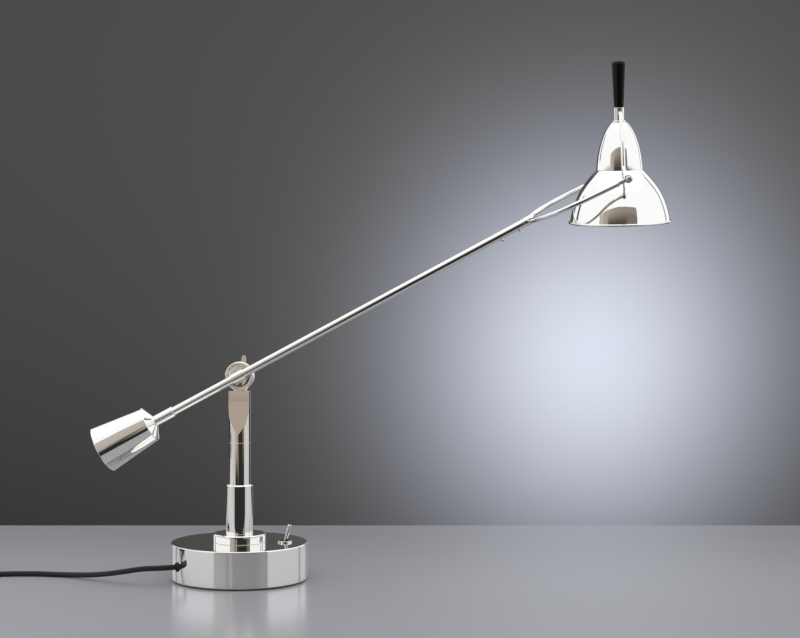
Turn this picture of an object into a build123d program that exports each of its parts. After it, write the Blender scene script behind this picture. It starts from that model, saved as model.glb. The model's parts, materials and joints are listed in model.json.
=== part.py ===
from build123d import *
import math
import os

os.makedirs("parts", exist_ok=True)

# Counterweight balance desk lamp. Millimetres. The origin is the centre of the base's underside, +Z is up
# and +X runs from the post towards the shade. The arm swings in a plane in front of the post (-Y side).

# ---- driving sizes ----
BASE_R = 75.0
BASE_TOP = 41.0
FELT_T = 1.5
COLLAR_R = 29.0
COLLAR_TOP = 50.5
SLEEVE_R = 14.9
SLEEVE_TOP = 104.0
POST_R = 12.2
POST_TOP = 206.7
HUB_Z = 223.0
ARM_Y = -9.3
ARM_R = 4.5
ARM_ANGLE = 28.2
ARM_END = 352.0
WEIGHT_BACK = -171.6
WEIGHT_FRONT = -110.8
WEIGHT_R_BACK = 27.0
WEIGHT_R_FRONT = 19.9
PIVOT_S = 464.5
FORK_HALF = 58.0
FORK_ROD_R = 2.6
FORK_ROLL = 9.0
FORK_DROP = 2.4
SHADE_TURN = 1.6
CORD_R = 2.9
RUN_FIT = 0.06
APART = 0.3

COS = math.cos(math.radians(ARM_ANGLE))
SIN = math.sin(math.radians(ARM_ANGLE))

# ---- directions and working planes ----
HUB = Vector(0, ARM_Y, HUB_Z)
ALONG = Vector(COS, 0, SIN)
ABOVE = Vector(-SIN, 0, COS)
ARM_AXIS = Axis(HUB, ALONG)
# Local x is the arm's upper side, local y runs along the arm from the hub.
ARM_CUT = Plane(origin=HUB, x_dir=ABOVE, z_dir=ABOVE.cross(ALONG))

PIVOT_DIR = Vector(0, 1, 0).rotate(Axis((0, 0, 0), ALONG), FORK_ROLL)
ROOT_S = 358.0
ROOT = HUB + ALONG * ROOT_S
FORK_ALONG = ALONG.rotate(Axis((0, 0, 0), PIVOT_DIR), FORK_DROP)
FORK_REACH = PIVOT_S - ROOT_S
# Local x runs towards the far leg, local y along the fork from its root.
FORK_CUT = Plane(origin=ROOT, x_dir=PIVOT_DIR, z_dir=PIVOT_DIR.cross(FORK_ALONG))
PIVOT = ROOT + FORK_ALONG * FORK_REACH

UPRIGHT = Vector(0, 0, 1) - PIVOT_DIR * PIVOT_DIR.Z
SHADE_UP = UPRIGHT.normalized().rotate(Axis((0, 0, 0), PIVOT_DIR), -SHADE_TURN)
SHADE_AXIS = Axis(PIVOT, SHADE_UP)
# Local x runs towards the far pivot, local y up the shade's own axis.
SHADE_CUT = Plane(origin=PIVOT, x_dir=PIVOT_DIR, z_dir=PIVOT_DIR.cross(SHADE_UP))


def save(part, name):
    """Write one sub-part under its name."""
    part.label = name
    export_step(part, f"parts/{name}.step")


def turned(plane, axis, points):
    """A turned piece: the closed outline of (radius, height) points, revolved about the axis."""
    with BuildPart() as piece:
        with BuildSketch(plane):
            with BuildLine():
                Polyline(*points, close=True)
            make_face()
        revolve(axis=axis)
    return piece.part


def rod(start, end, radius):
    """A plain round rod between two points."""
    way = Vector(*end) - Vector(*start)
    with BuildPart() as piece:
        with BuildSketch(Plane(origin=start, z_dir=way)):
            Circle(radius)
        extrude(amount=way.length)
    return piece.part


# ================= base =================
WALL_T = 8.0
ROOF_T = 8.0
PLATE_SEAT = 4.0
PLATE_T = 2.0
FELT_IN = 1.5
TOP_ROUND = 1.1
FOOT_BEVEL = 0.9
SHELL_WALL_R = BASE_R - WALL_T
SHELL_ROOF = BASE_TOP - ROOF_T
PLATE_R = SHELL_WALL_R + PLATE_SEAT
PLATE_TOP = FELT_T + PLATE_T
FOOT_R = BASE_R - FELT_IN
SPIGOT_R = 10.0
SCREW_R = 2.0
SCREW_HEAD_R = 3.8
BOSS_R = 5.5
BOSS_DRILL = 14.0
SCREW_PCD_R = SHELL_WALL_R - BOSS_R - 1.5
SWITCH_IN = 16.7
SWITCH_X = SHELL_WALL_R - SWITCH_IN
SWITCH_Y = 0.0
CORD_AZ = 216.5
CORD_Z = 19.3
CORD_OUT = Vector(math.cos(math.radians(CORD_AZ)), math.sin(math.radians(CORD_AZ)), 0)
BUSH_R = 6.0

# Screws at three places, clear of the switch and the cord.
SCREW_ANGLES = (60, 180, 300)


def screw_places():
    return [
        (SCREW_PCD_R * math.cos(math.radians(a)), SCREW_PCD_R * math.sin(math.radians(a)))
        for a in SCREW_ANGLES
    ]


GROMMET_R = 4.5
GROMMET_IN = SHELL_WALL_R - 5.0

with BuildPart() as base_shell:
    with BuildSketch(Plane.XZ):
        with BuildLine():
            Polyline(
                (SPIGOT_R, BASE_TOP),
                (BASE_R, BASE_TOP),
                (BASE_R, FELT_T),
                (PLATE_R + APART, FELT_T),
                (PLATE_R + APART, PLATE_TOP),
                (SHELL_WALL_R, PLATE_TOP),
                (SHELL_WALL_R, SHELL_ROOF),
                (SPIGOT_R, SHELL_ROOF),
                close=True,
            )
        make_face()
    revolve(axis=Axis.Z)
    outer_edges = base_shell.edges().filter_by(GeomType.CIRCLE).sort_by(SortBy.RADIUS)[-2:]
    fillet(outer_edges.sort_by(Axis.Z)[-1], TOP_ROUND)
    outer_edges = base_shell.edges().filter_by(GeomType.CIRCLE).sort_by(SortBy.RADIUS)[-2:]
    chamfer(outer_edges.sort_by(Axis.Z)[0], FOOT_BEVEL)
    with BuildSketch(Plane.XY.offset(PLATE_TOP)):
        with Locations(*screw_places()):
            Circle(BOSS_R)
    extrude(amount=SHELL_ROOF - PLATE_TOP)
    with BuildSketch(Plane.XY.offset(PLATE_TOP)):
        with Locations(*screw_places()):
            Circle(SCREW_R)
    extrude(amount=BOSS_DRILL, mode=Mode.SUBTRACT)
    with BuildSketch(Plane.XY.offset(SHELL_ROOF)):
        with Locations((SWITCH_X, SWITCH_Y)):
            Circle(BUSH_R)
    extrude(amount=BASE_TOP - SHELL_ROOF, mode=Mode.SUBTRACT)
    with BuildSketch(Plane(origin=(0, 0, CORD_Z), z_dir=CORD_OUT)):
        Circle(GROMMET_R)
    extrude(amount=1.1 * BASE_R, mode=Mode.SUBTRACT)
save(base_shell.part, "base_shell")

with BuildPart() as base_plate:
    with BuildSketch(Plane.XY.offset(FELT_T)):
        Circle(PLATE_R)
        with Locations(*screw_places()):
            Circle(SCREW_R, mode=Mode.SUBTRACT)
    extrude(amount=PLATE_T)
save(base_plate.part, "base_plate")

with BuildPart() as felt_pad:
    with BuildSketch():
        Circle(FOOT_R)
        with Locations(*screw_places()):
            Circle(SCREW_HEAD_R + 1, mode=Mode.SUBTRACT)
    extrude(amount=FELT_T)
save(felt_pad.part, "felt_pad")

# The three cover screws are alike and share one node; their pan heads sit in the felt's holes.
SCREW_HEAD_T = 1.2
SCREW_LENGTH = BOSS_DRILL + PLATE_T - 4.0
CROSS_SLOT_L = 5.0
CROSS_SLOT_W = 0.8
CROSS_SLOT_DEEP = 0.7
with BuildPart() as base_screws:
    with BuildSketch(Plane.XY.offset(FELT_T - SCREW_HEAD_T)):
        with Locations(*screw_places()):
            Circle(SCREW_HEAD_R)
    extrude(amount=SCREW_HEAD_T)
    with BuildSketch(Plane.XY.offset(FELT_T)):
        with Locations(*screw_places()):
            Circle(SCREW_R)
    extrude(amount=SCREW_LENGTH)
    with BuildSketch(Plane.XY.offset(FELT_T - SCREW_HEAD_T)):
        with Locations(*screw_places()):
            Rectangle(CROSS_SLOT_L, CROSS_SLOT_W)
            Rectangle(CROSS_SLOT_W, CROSS_SLOT_L)
    extrude(amount=CROSS_SLOT_DEEP, mode=Mode.SUBTRACT)
save(base_screws.part, "base_screws")

# Cast ballast disc on the cover plate, with clearances for the sleeve nut, switch, cord and screw bosses.
BALLAST_R = SHELL_WALL_R - 1.0
BALLAST_TOP = SHELL_ROOF - 8.0
NUT_R = 15.5
NUT_ROOM = 3.0
SWITCH_HALF_X = 7.0
SWITCH_HALF_Y = 10.0
SWITCH_ROOM = 2.5
SWITCH_BOTTOM = SHELL_ROOF - 21.0
CHANNEL_W = 18.0
with BuildPart() as base_ballast:
    with BuildSketch(Plane.XY.offset(PLATE_TOP)):
        Circle(BALLAST_R)
        Circle(NUT_R + NUT_ROOM, mode=Mode.SUBTRACT)
        with Locations(*screw_places()):
            Circle(BOSS_R + 1, mode=Mode.SUBTRACT)
        with Locations((SWITCH_X, SWITCH_Y)):
            Rectangle(
                2 * (SWITCH_HALF_X + SWITCH_ROOM),
                2 * (SWITCH_HALF_Y + SWITCH_ROOM),
                mode=Mode.SUBTRACT,
            )
        with Locations(Location((CORD_OUT.X * BALLAST_R / 2, CORD_OUT.Y * BALLAST_R / 2, 0), CORD_AZ)):
            Rectangle(1.15 * BALLAST_R, CHANNEL_W, mode=Mode.SUBTRACT)
    extrude(amount=BALLAST_TOP - PLATE_TOP)
save(base_ballast.part, "base_ballast")

# Collar, post sleeve and the nut that pulls them onto the base.
COLLAR_BEVEL = 0.9
COLLAR_FOOT = 0.4
COLLAR = [
    (SPIGOT_R, BASE_TOP),
    (COLLAR_R - COLLAR_FOOT, BASE_TOP),
    (COLLAR_R, BASE_TOP + COLLAR_FOOT),
    (COLLAR_R, COLLAR_TOP - COLLAR_BEVEL),
    (COLLAR_R - COLLAR_BEVEL, COLLAR_TOP),
    (SPIGOT_R, COLLAR_TOP),
]
save(turned(Plane.XZ, Axis.Z, COLLAR), "collar")

BORE_R = POST_R + RUN_FIT
BORE_FLOOR = COLLAR_TOP + 3.5
WIRE_R = 5.0
SPIGOT_END = SHELL_ROOF - 9.0
SLEEVE = [
    (WIRE_R, SPIGOT_END),
    (SPIGOT_R, SPIGOT_END),
    (SPIGOT_R, COLLAR_TOP),
    (SLEEVE_R, COLLAR_TOP),
    (SLEEVE_R, SLEEVE_TOP - 1.2),
    (SLEEVE_R - 1.2, SLEEVE_TOP),
    (BORE_R + 0.3, SLEEVE_TOP),
    (BORE_R, SLEEVE_TOP - 0.3),
    (BORE_R, BORE_FLOOR),
    (WIRE_R, BORE_FLOOR),
]
save(turned(Plane.XZ, Axis.Z, SLEEVE), "post_sleeve")

NUT_T = 6.0
with BuildPart() as sleeve_nut:
    with BuildSketch(Plane.XY.offset(SHELL_ROOF - NUT_T)):
        RegularPolygon(NUT_R, 6)
        Circle(SPIGOT_R, mode=Mode.SUBTRACT)
    extrude(amount=NUT_T)
save(sleeve_nut.part, "sleeve_nut")

# Toggle switch: housing under the base's top, threaded bush with a flat round nut, and the lever.
NUT_FACE = BASE_TOP + 1.9
NUT_OUT_R = 7.9
NUT_BEVEL = 0.4
BUSH_TOP = NUT_FACE + 0.3
WELL_R = 4.6
WELL_DEEP = 3.0
LEVER_PIVOT_Z = BASE_TOP
LEVER_TILT = 17.0
LEVER_LENGTH = 20.2
LEVER_LOW_R = 1.75
LEVER_R = 2.3
LEVER_ROUND = 1.1
LEVER_TAIL = 2.0
AXLE_R = 1.2
AXLE_HALF = 3.5
TAB_APART = 12.0
TAB_LENGTH = 5.0
with BuildPart() as switch_body:
    with BuildSketch(Plane.XY.offset(SWITCH_BOTTOM)):
        with Locations((SWITCH_X, SWITCH_Y)):
            Rectangle(2 * SWITCH_HALF_X, 2 * SWITCH_HALF_Y)
    extrude(amount=SHELL_ROOF - SWITCH_BOTTOM)
    with BuildSketch(Plane.XY.offset(SHELL_ROOF)):
        with Locations((SWITCH_X, SWITCH_Y)):
            Circle(BUSH_R)
    extrude(amount=BUSH_TOP - SHELL_ROOF)
    with BuildSketch(Plane.XY.offset(LEVER_PIVOT_Z - WELL_DEEP)):
        with Locations((SWITCH_X, SWITCH_Y)):
            Circle(WELL_R)
    extrude(amount=BUSH_TOP - LEVER_PIVOT_Z + WELL_DEEP, mode=Mode.SUBTRACT)
    with BuildSketch(Plane.XY.offset(SWITCH_BOTTOM - TAB_LENGTH)):
        with Locations((SWITCH_X, SWITCH_Y - TAB_APART / 2), (SWITCH_X, SWITCH_Y + TAB_APART / 2)):
            Rectangle(3, 0.8)
    extrude(amount=TAB_LENGTH)
save(switch_body.part, "switch_body")

SWITCH_CUT = Plane(origin=(SWITCH_X, SWITCH_Y, 0), x_dir=(1, 0, 0), z_dir=(0, -1, 0))
SWITCH_NUT = [
    (BUSH_R, BASE_TOP),
    (NUT_OUT_R, BASE_TOP),
    (NUT_OUT_R, NUT_FACE - NUT_BEVEL),
    (NUT_OUT_R - NUT_BEVEL, NUT_FACE),
    (BUSH_R, NUT_FACE),
]
save(turned(SWITCH_CUT, Axis((SWITCH_X, SWITCH_Y, 0), (0, 0, 1)), SWITCH_NUT), "switch_nut")

# The lever thickens towards its end and turns on a short axle across the switch's well.
LEVER_DIR = Vector(math.sin(math.radians(LEVER_TILT)), 0, math.cos(math.radians(LEVER_TILT)))
LEVER_START = Vector(SWITCH_X, SWITCH_Y, LEVER_PIVOT_Z)
LEVER_CUT = Plane(origin=LEVER_START, x_dir=(0, 1, 0), z_dir=Vector(0, 1, 0).cross(LEVER_DIR))
with BuildPart() as switch_lever:
    with BuildSketch(LEVER_CUT):
        with BuildLine():
            l1 = Polyline(
                (0, -LEVER_TAIL),
                (LEVER_LOW_R, -LEVER_TAIL),
                (LEVER_LOW_R, LEVER_TAIL),
                (LEVER_R, LEVER_LENGTH - LEVER_ROUND),
            )
            l2 = CenterArc((LEVER_R - LEVER_ROUND, LEVER_LENGTH - LEVER_ROUND), LEVER_ROUND, 0, 90)
            Polyline(l2 @ 1, (0, LEVER_LENGTH), (0, -LEVER_TAIL))
        make_face()
    revolve(axis=Axis(LEVER_START, LEVER_DIR))
    with BuildSketch(Plane(origin=LEVER_START, z_dir=(0, 1, 0))):
        Circle(AXLE_R)
    extrude(amount=AXLE_HALF, both=True)
save(switch_lever.part, "switch_lever")

# Cord gland in the side wall, and the clamp and terminal block it leads to.
GLAND_CUT = Plane(origin=(0, 0, CORD_Z), x_dir=(0, 0, 1), z_dir=Vector(0, 0, 1).cross(CORD_OUT))
GLAND_AXIS = Axis((0, 0, CORD_Z), CORD_OUT)
LIP_R = GROMMET_R + 0.7
LIP_START = BASE_R + 0.1
LIP_END = BASE_R + 1.6
GLAND = [
    (CORD_R, GROMMET_IN),
    (GROMMET_R, GROMMET_IN),
    (GROMMET_R, LIP_START),
    (LIP_R, LIP_START),
    (LIP_R, LIP_START + 0.7),
    (LIP_R - 0.9, LIP_END),
    (CORD_R, LIP_END),
]
save(turned(GLAND_CUT, GLAND_AXIS, GLAND), "cord_gland")

BLOCK_Z = 8.0
BLOCK_AT = 28.0
BLOCK_L = 12.0
BLOCK_W = 15.0
with BuildPart() as terminal_block:
    with BuildSketch(Plane.XY.offset(PLATE_TOP)):
        with Locations(Location((CORD_OUT.X * BLOCK_AT, CORD_OUT.Y * BLOCK_AT, 0), CORD_AZ)):
            Rectangle(BLOCK_L, BLOCK_W)
    extrude(amount=BLOCK_Z)
    with BuildSketch(Plane.XY.offset(PLATE_TOP + BLOCK_Z)):
        with Locations(Location((CORD_OUT.X * BLOCK_AT, CORD_OUT.Y * BLOCK_AT, 0), CORD_AZ)):
            with GridLocations(0.58 * BLOCK_L, BLOCK_W / 3, 2, 3):
                Circle(1.4)
    extrude(amount=-3, mode=Mode.SUBTRACT)
save(terminal_block.part, "terminal_block")

CLAMP_AT = SHELL_WALL_R - 15.0
CLAMP_TOP = CORD_Z + CORD_R + 2.0
CLAMP_L = 8.0
with BuildPart() as cord_clamp:
    with BuildSketch(Plane.XY.offset(PLATE_TOP)):
        with Locations(Location((CORD_OUT.X * CLAMP_AT, CORD_OUT.Y * CLAMP_AT, 0), CORD_AZ)):
            Rectangle(CLAMP_L, BLOCK_W)
    extrude(amount=CLAMP_TOP - PLATE_TOP)
    with BuildSketch(Plane(origin=(0, 0, CORD_Z), z_dir=CORD_OUT)):
        Circle(CORD_R)
    extrude(amount=BASE_R, mode=Mode.SUBTRACT)
save(cord_clamp.part, "cord_clamp")

# ================= post =================
TUBE_IN_R = 9.7
TUBE_LOW = BORE_FLOOR + APART
FLAT_TIP = 158.3
HEAD_LOW = FLAT_TIP - 8.3
PLUG_LOW = HEAD_LOW - 12.0
TUBE = [(TUBE_IN_R, TUBE_LOW), (POST_R, TUBE_LOW), (POST_R, HEAD_LOW), (TUBE_IN_R, HEAD_LOW)]
save(turned(Plane.XZ, Axis.Z, TUBE), "post_tube")

# The head is a solid plug with a long flat relief in front, which lets the arm swing past it, and a
# round cheek above that carries the pivot. The flat runs out below in a smooth sweep.
FLAT_Y = -4.3
FLAT_DEEP = POST_R + FLAT_Y
SWEEP_SLOPE = 0.31
SWEEP_LOW = 7.0
SWEEP_HIGH = 16.0
CHEEK_R = 15.8
CHEEK_FRONT = 1.1
CHEEK_T = 5.5
CHEEK_BEVEL = 0.5
STUD_R = 4.0
BRIDGE_HALF = 7.0
BRIDGE_BACK = 9.0
BRIDGE_TOP = HUB_Z - 0.68 * CHEEK_R
with BuildPart() as post_head:
    with BuildSketch(Plane.XY.offset(HEAD_LOW)):
        Circle(POST_R)
    extrude(amount=POST_TOP - HEAD_LOW)
    with BuildSketch(Plane.XY.offset(PLUG_LOW)):
        Circle(TUBE_IN_R)
        Circle(WIRE_R, mode=Mode.SUBTRACT)
    extrude(amount=HEAD_LOW - PLUG_LOW)
    low_depth = SWEEP_SLOPE * SWEEP_LOW / 2
    high_depth = SWEEP_SLOPE * SWEEP_HIGH / 2
    slope_height = (FLAT_DEEP - low_depth - high_depth) / SWEEP_SLOPE
    with BuildSketch(Plane.YZ.offset(-POST_R - 1)):
        with BuildLine():
            tip = (-POST_R, FLAT_TIP)
            slope_low = (-POST_R + low_depth, FLAT_TIP + SWEEP_LOW)
            slope_high = (FLAT_Y - high_depth, FLAT_TIP + SWEEP_LOW + slope_height)
            flat_low = (FLAT_Y, FLAT_TIP + SWEEP_LOW + slope_height + SWEEP_HIGH)
            TangentArc(tip, slope_low, tangent=(0, 1))
            slope = Line(slope_low, slope_high)
            TangentArc(slope_high, flat_low, tangent=slope % 1)
            Polyline(
                flat_low,
                (FLAT_Y, POST_TOP + 1),
                (-POST_R - 3, POST_TOP + 1),
                (-POST_R - 3, FLAT_TIP),
                tip,
            )
        make_face()
    extrude(amount=2 * POST_R + 2, mode=Mode.SUBTRACT)
    with BuildSketch(Plane.XY.offset(POST_TOP)):
        with Locations((0, (CHEEK_FRONT + BRIDGE_BACK) / 2)):
            Rectangle(2 * BRIDGE_HALF, BRIDGE_BACK - CHEEK_FRONT)
    extrude(amount=BRIDGE_TOP - POST_TOP)
    with BuildSketch(Plane.XZ.offset(-CHEEK_FRONT)):
        with Locations((0, HUB_Z)):
            Circle(CHEEK_R)
    extrude(amount=-CHEEK_T)
    with BuildSketch(Plane.XZ.offset(-CHEEK_FRONT)):
        with Locations((0, HUB_Z)):
            Circle(STUD_R + RUN_FIT)
    extrude(amount=-POST_R, mode=Mode.SUBTRACT)
    rims = post_head.edges().filter_by(GeomType.CIRCLE).filter_by(lambda e: abs(e.radius - CHEEK_R) < 0.01)
    chamfer(rims.sort_by(Axis.Y)[0], CHEEK_BEVEL)
save(post_head.part, "post_head")

# ================= pivot stack and arm =================
HUB_CUT = Plane.XY.offset(HUB_Z)
HUB_AXIS = Axis((0, 0, HUB_Z), (0, 1, 0))
DISC_R = 15.45
RIM_FRONT = -4.6
FLOOR_FRONT = -2.3
DISC_BACK = 0.0
WASHER_BACK = 0.8
WASHER_R = 13.0
RIM_W = 1.9
DISC = [
    (STUD_R, DISC_BACK),
    (DISC_R - 0.4, DISC_BACK),
    (DISC_R, DISC_BACK - 0.4),
    (DISC_R, RIM_FRONT + 0.5),
    (DISC_R - 0.5, RIM_FRONT),
    (DISC_R - RIM_W, RIM_FRONT),
    (DISC_R - RIM_W - 0.5, FLOOR_FRONT),
    (STUD_R, FLOOR_FRONT),
]
save(turned(HUB_CUT, HUB_AXIS, DISC), "hub_disc")

WASHER = [(STUD_R, DISC_BACK), (WASHER_R, DISC_BACK), (WASHER_R, WASHER_BACK), (STUD_R, WASHER_BACK)]
save(turned(HUB_CUT, HUB_AXIS, WASHER), "friction_washer")

CHEEK_BACK = CHEEK_FRONT + CHEEK_T
SPRING_FRONT = CHEEK_BACK + APART
SPRING_BACK = SPRING_FRONT + 1.0
SPRING = [
    (STUD_R, SPRING_FRONT + 0.2),
    (8.0, SPRING_FRONT),
    (8.0, SPRING_BACK - 0.2),
    (STUD_R, SPRING_BACK),
]
save(turned(HUB_CUT, HUB_AXIS, SPRING), "spring_washer")

STUD_END = 21.5
STUD = [
    (0, FLOOR_FRONT),
    (STUD_R, FLOOR_FRONT),
    (STUD_R, STUD_END - 0.7),
    (STUD_R - 0.7, STUD_END),
    (0, STUD_END),
]
save(turned(HUB_CUT, HUB_AXIS, STUD), "pivot_stud")

# Wing nut: a tapered hub with two ears that stand clear behind the post.
WING_TURN = 7.0
EAR_TIP = 22.4
EAR_ROOT = 5.6
EAR_ROOT_HALF = 3.2
EAR_TIP_HALF = 1.9
EAR_FRONT = POST_R + 1.3
EAR_T = 3.6
WING_HUB_FRONT = SPRING_BACK + APART
WING_HUB_BACK = EAR_FRONT + EAR_T + 1.4
WING_HUB_R = 7.6
with BuildPart() as wing_nut:
    with BuildSketch(HUB_CUT):
        with BuildLine():
            Polyline(
                (STUD_R + RUN_FIT, WING_HUB_FRONT),
                (WING_HUB_R, WING_HUB_FRONT),
                (WING_HUB_R - 0.6, EAR_FRONT),
                (WING_HUB_R - 1.8, WING_HUB_BACK),
                (STUD_R + RUN_FIT, WING_HUB_BACK),
                close=True,
            )
        make_face()
    revolve(axis=HUB_AXIS)
    for side in (0, 180):
        ear_turn = WING_TURN + side
        ear_plane = Plane(
            origin=(0, EAR_FRONT, HUB_Z),
            x_dir=Vector(1, 0, 0).rotate(Axis.Y, ear_turn),
            z_dir=(0, 1, 0),
        )
        with BuildSketch(ear_plane):
            with BuildLine():
                e1 = Polyline((-EAR_ROOT_HALF, -EAR_ROOT), (-EAR_TIP_HALF, -EAR_TIP + EAR_TIP_HALF))
                e2 = ThreePointArc(e1 @ 1, (0, -EAR_TIP), (EAR_TIP_HALF, -EAR_TIP + EAR_TIP_HALF))
                Polyline(e2 @ 1, (EAR_ROOT_HALF, -EAR_ROOT), (-EAR_ROOT_HALF, -EAR_ROOT))
            make_face()
        extrude(amount=EAR_T)
save(wing_nut.part, "wing_nut")

# Saddle: a short sleeve on the arm with a square foot that stands on the hub disc.
SADDLE_R = 5.6
SADDLE_HALF = 7.6
FOOT_HALF = 7.0
FOOT_FRONT = FLOOR_FRONT - 3.4
CROSS = Plane(origin=HUB - ALONG * SADDLE_HALF, x_dir=ABOVE, z_dir=ALONG)
with BuildPart() as arm_saddle:
    with BuildSketch(CROSS):
        Circle(SADDLE_R)
    extrude(amount=2 * SADDLE_HALF)
    with BuildSketch(Plane(origin=(0, FLOOR_FRONT, HUB_Z), x_dir=ALONG, z_dir=(0, -1, 0))):
        RectangleRounded(2 * SADDLE_HALF, 2 * FOOT_HALF, 1.2)
    extrude(amount=FLOOR_FRONT - FOOT_FRONT)
    with BuildSketch(CROSS):
        Circle(ARM_R)
    extrude(amount=2 * SADDLE_HALF, mode=Mode.SUBTRACT)
save(arm_saddle.part, "arm_saddle")

# Set screw standing on the saddle's upper side.
SET_R = 1.8
SET_AT = HUB + ABOVE * (SADDLE_R - 0.4)
with BuildPart() as saddle_screw:
    with BuildSketch(Plane(origin=SET_AT, z_dir=ABOVE)):
        Circle(SET_R)
    extrude(amount=2.6)
    with BuildSketch(Plane(origin=HUB, z_dir=ALONG)):
        Circle(SADDLE_R)
    extrude(amount=3, both=True, mode=Mode.SUBTRACT)
    with BuildSketch(Plane(origin=SET_AT + ABOVE * 1.4, z_dir=ABOVE)):
        RegularPolygon(1.0, 6)
    extrude(amount=2, mode=Mode.SUBTRACT)
save(saddle_screw.part, "saddle_screw")

ARM_IN_R = 3.5
ARM_TAIL = WEIGHT_BACK + 7.6
GROOVE_S = ARM_END - 9.0
GROOVE_W = 3.0
FORK_SCREW_R = 1.1
FORK_SCREW_HEAD_R = 1.7
HEAD_SEAT = 0.1
FORK_SCREW_AT = HUB + ALONG * (GROOVE_S + GROOVE_W / 2)
SCREW_SEAT = Plane(origin=FORK_SCREW_AT - ABOVE * (ARM_R + HEAD_SEAT), z_dir=-ABOVE)
ARM = [(ARM_IN_R, ARM_TAIL), (ARM_R, ARM_TAIL), (ARM_R, ARM_END), (ARM_IN_R, ARM_END)]
with BuildPart() as arm_tube:
    add(turned(ARM_CUT, ARM_AXIS, ARM))
    with BuildSketch(Plane(origin=FORK_SCREW_AT, z_dir=-ABOVE)):
        Circle(FORK_SCREW_R)
    extrude(amount=ARM_R + 1, mode=Mode.SUBTRACT)
save(arm_tube.part, "arm_tube")

# Counterweight: a heavy cone with a nosed front, drilled for the arm, its sleeve and its end screw.
NOSE_S = WEIGHT_FRONT + 6.1
NOSE_R = 6.2
SCREW_WELL_R = 6.0
SCREW_WELL_DEEP = 3.0
WEIGHT = [
    (0, WEIGHT_BACK + SCREW_WELL_DEEP),
    (SCREW_WELL_R, WEIGHT_BACK + SCREW_WELL_DEEP),
    (SCREW_WELL_R, WEIGHT_BACK),
    (WEIGHT_R_BACK - 0.8, WEIGHT_BACK),
    (WEIGHT_R_BACK, WEIGHT_BACK + 0.8),
    (WEIGHT_R_FRONT + 0.1, WEIGHT_FRONT - 0.6),
    (WEIGHT_R_FRONT - 0.5, WEIGHT_FRONT),
    (NOSE_R, NOSE_S),
    (ARM_R, NOSE_S),
    (ARM_R, ARM_TAIL),
    (0, ARM_TAIL),
]
save(turned(ARM_CUT, ARM_AXIS, WEIGHT), "counterweight")

SLEEVE_END = NOSE_S + 23.3
WEIGHT_SLEEVE_R = 5.85
WEIGHT_SLEEVE = [
    (ARM_R, NOSE_S),
    (WEIGHT_SLEEVE_R, NOSE_S),
    (WEIGHT_SLEEVE_R, SLEEVE_END - 0.5),
    (WEIGHT_SLEEVE_R - 0.5, SLEEVE_END),
    (ARM_R, SLEEVE_END),
]
save(turned(ARM_CUT, ARM_AXIS, WEIGHT_SLEEVE), "weight_sleeve")

WEIGHT_SCREW_T = 2.4
SLOT_DEEP = 1.0
with BuildPart() as weight_screw:
    with BuildSketch(Plane(origin=HUB + ALONG * (WEIGHT_BACK + SCREW_WELL_DEEP), x_dir=ABOVE, z_dir=-ALONG)):
        Circle(SCREW_WELL_R - APART)
    extrude(amount=WEIGHT_SCREW_T)
    slot_at = HUB + ALONG * (WEIGHT_BACK + SCREW_WELL_DEEP - WEIGHT_SCREW_T + SLOT_DEEP)
    with BuildSketch(Plane(origin=slot_at, x_dir=ABOVE, z_dir=-ALONG)):
        Rectangle(2 * SCREW_WELL_R, 1.2)
    extrude(amount=2 * SLOT_DEEP, mode=Mode.SUBTRACT)
save(weight_screw.part, "weight_screw")

# ================= fork =================
CAP_R = 4.9
CAP_BACK = ARM_END + 0.6
STUB_R = ARM_IN_R - RUN_FIT
STUB_BACK = ARM_END - 20.0
GROOVE_R = 2.4
END_RING_W = 2.0
RING = [
    (ARM_R, ARM_END - END_RING_W),
    (CAP_R, ARM_END - END_RING_W),
    (CAP_R, ARM_END),
    (ARM_R, ARM_END),
]
save(turned(ARM_CUT, ARM_AXIS, RING), "arm_end_ring")

# The screw under the arm's end runs in a groove of the fork's stub, so the fork turns but stays on.
SCREW_TIP = GROOVE_R + 0.4
with BuildPart() as fork_screw:
    with BuildSketch(Plane(origin=FORK_SCREW_AT - ABOVE * SCREW_TIP, z_dir=-ABOVE)):
        Circle(FORK_SCREW_R)
    extrude(amount=ARM_R + HEAD_SEAT - SCREW_TIP)
    with BuildSketch(SCREW_SEAT):
        Circle(FORK_SCREW_HEAD_R)
    extrude(amount=FORK_SCREW_HEAD_R)
save(fork_screw.part, "fork_screw")

# Bow: one round rod bent to a U, its two halves meeting at the root.
LEG_END = FORK_REACH - 12.5


def bow_half(side):
    """Half of the U-shaped rod: a wide curve out of the root and a straight leg."""
    with BuildPart() as half:
        with BuildLine(FORK_CUT):
            bow = CenterArc((0, FORK_HALF), FORK_HALF, 270, 90 * side)
            Line(bow @ 1, (side * FORK_HALF, LEG_END))
        with BuildSketch(Plane(origin=ROOT, x_dir=FORK_ALONG, z_dir=PIVOT_DIR * side)):
            Circle(FORK_ROD_R)
        sweep()
    return half.part


near_leg = bow_half(-1)
far_leg = bow_half(1)
save(near_leg, "fork_leg_near")
save(far_leg, "fork_leg_far")

CAP = [
    (0, STUB_BACK),
    (STUB_R, STUB_BACK),
    (STUB_R, GROOVE_S),
    (GROOVE_R, GROOVE_S),
    (GROOVE_R, GROOVE_S + GROOVE_W),
    (STUB_R, GROOVE_S + GROOVE_W),
    (STUB_R, CAP_BACK),
    (CAP_R, CAP_BACK),
    (CAP_R, ROOT_S + 2.4),
    (CAP_R - 1.2, ROOT_S + 4.6),
    (CAP_R - 3, ROOT_S + 5.6),
    (0, ROOT_S + 5.8),
]
with BuildPart() as fork_cap:
    add(turned(ARM_CUT, ARM_AXIS, CAP))
    add(near_leg, mode=Mode.SUBTRACT)
    add(far_leg, mode=Mode.SUBTRACT)
save(fork_cap.part, "fork_cap")

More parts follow.
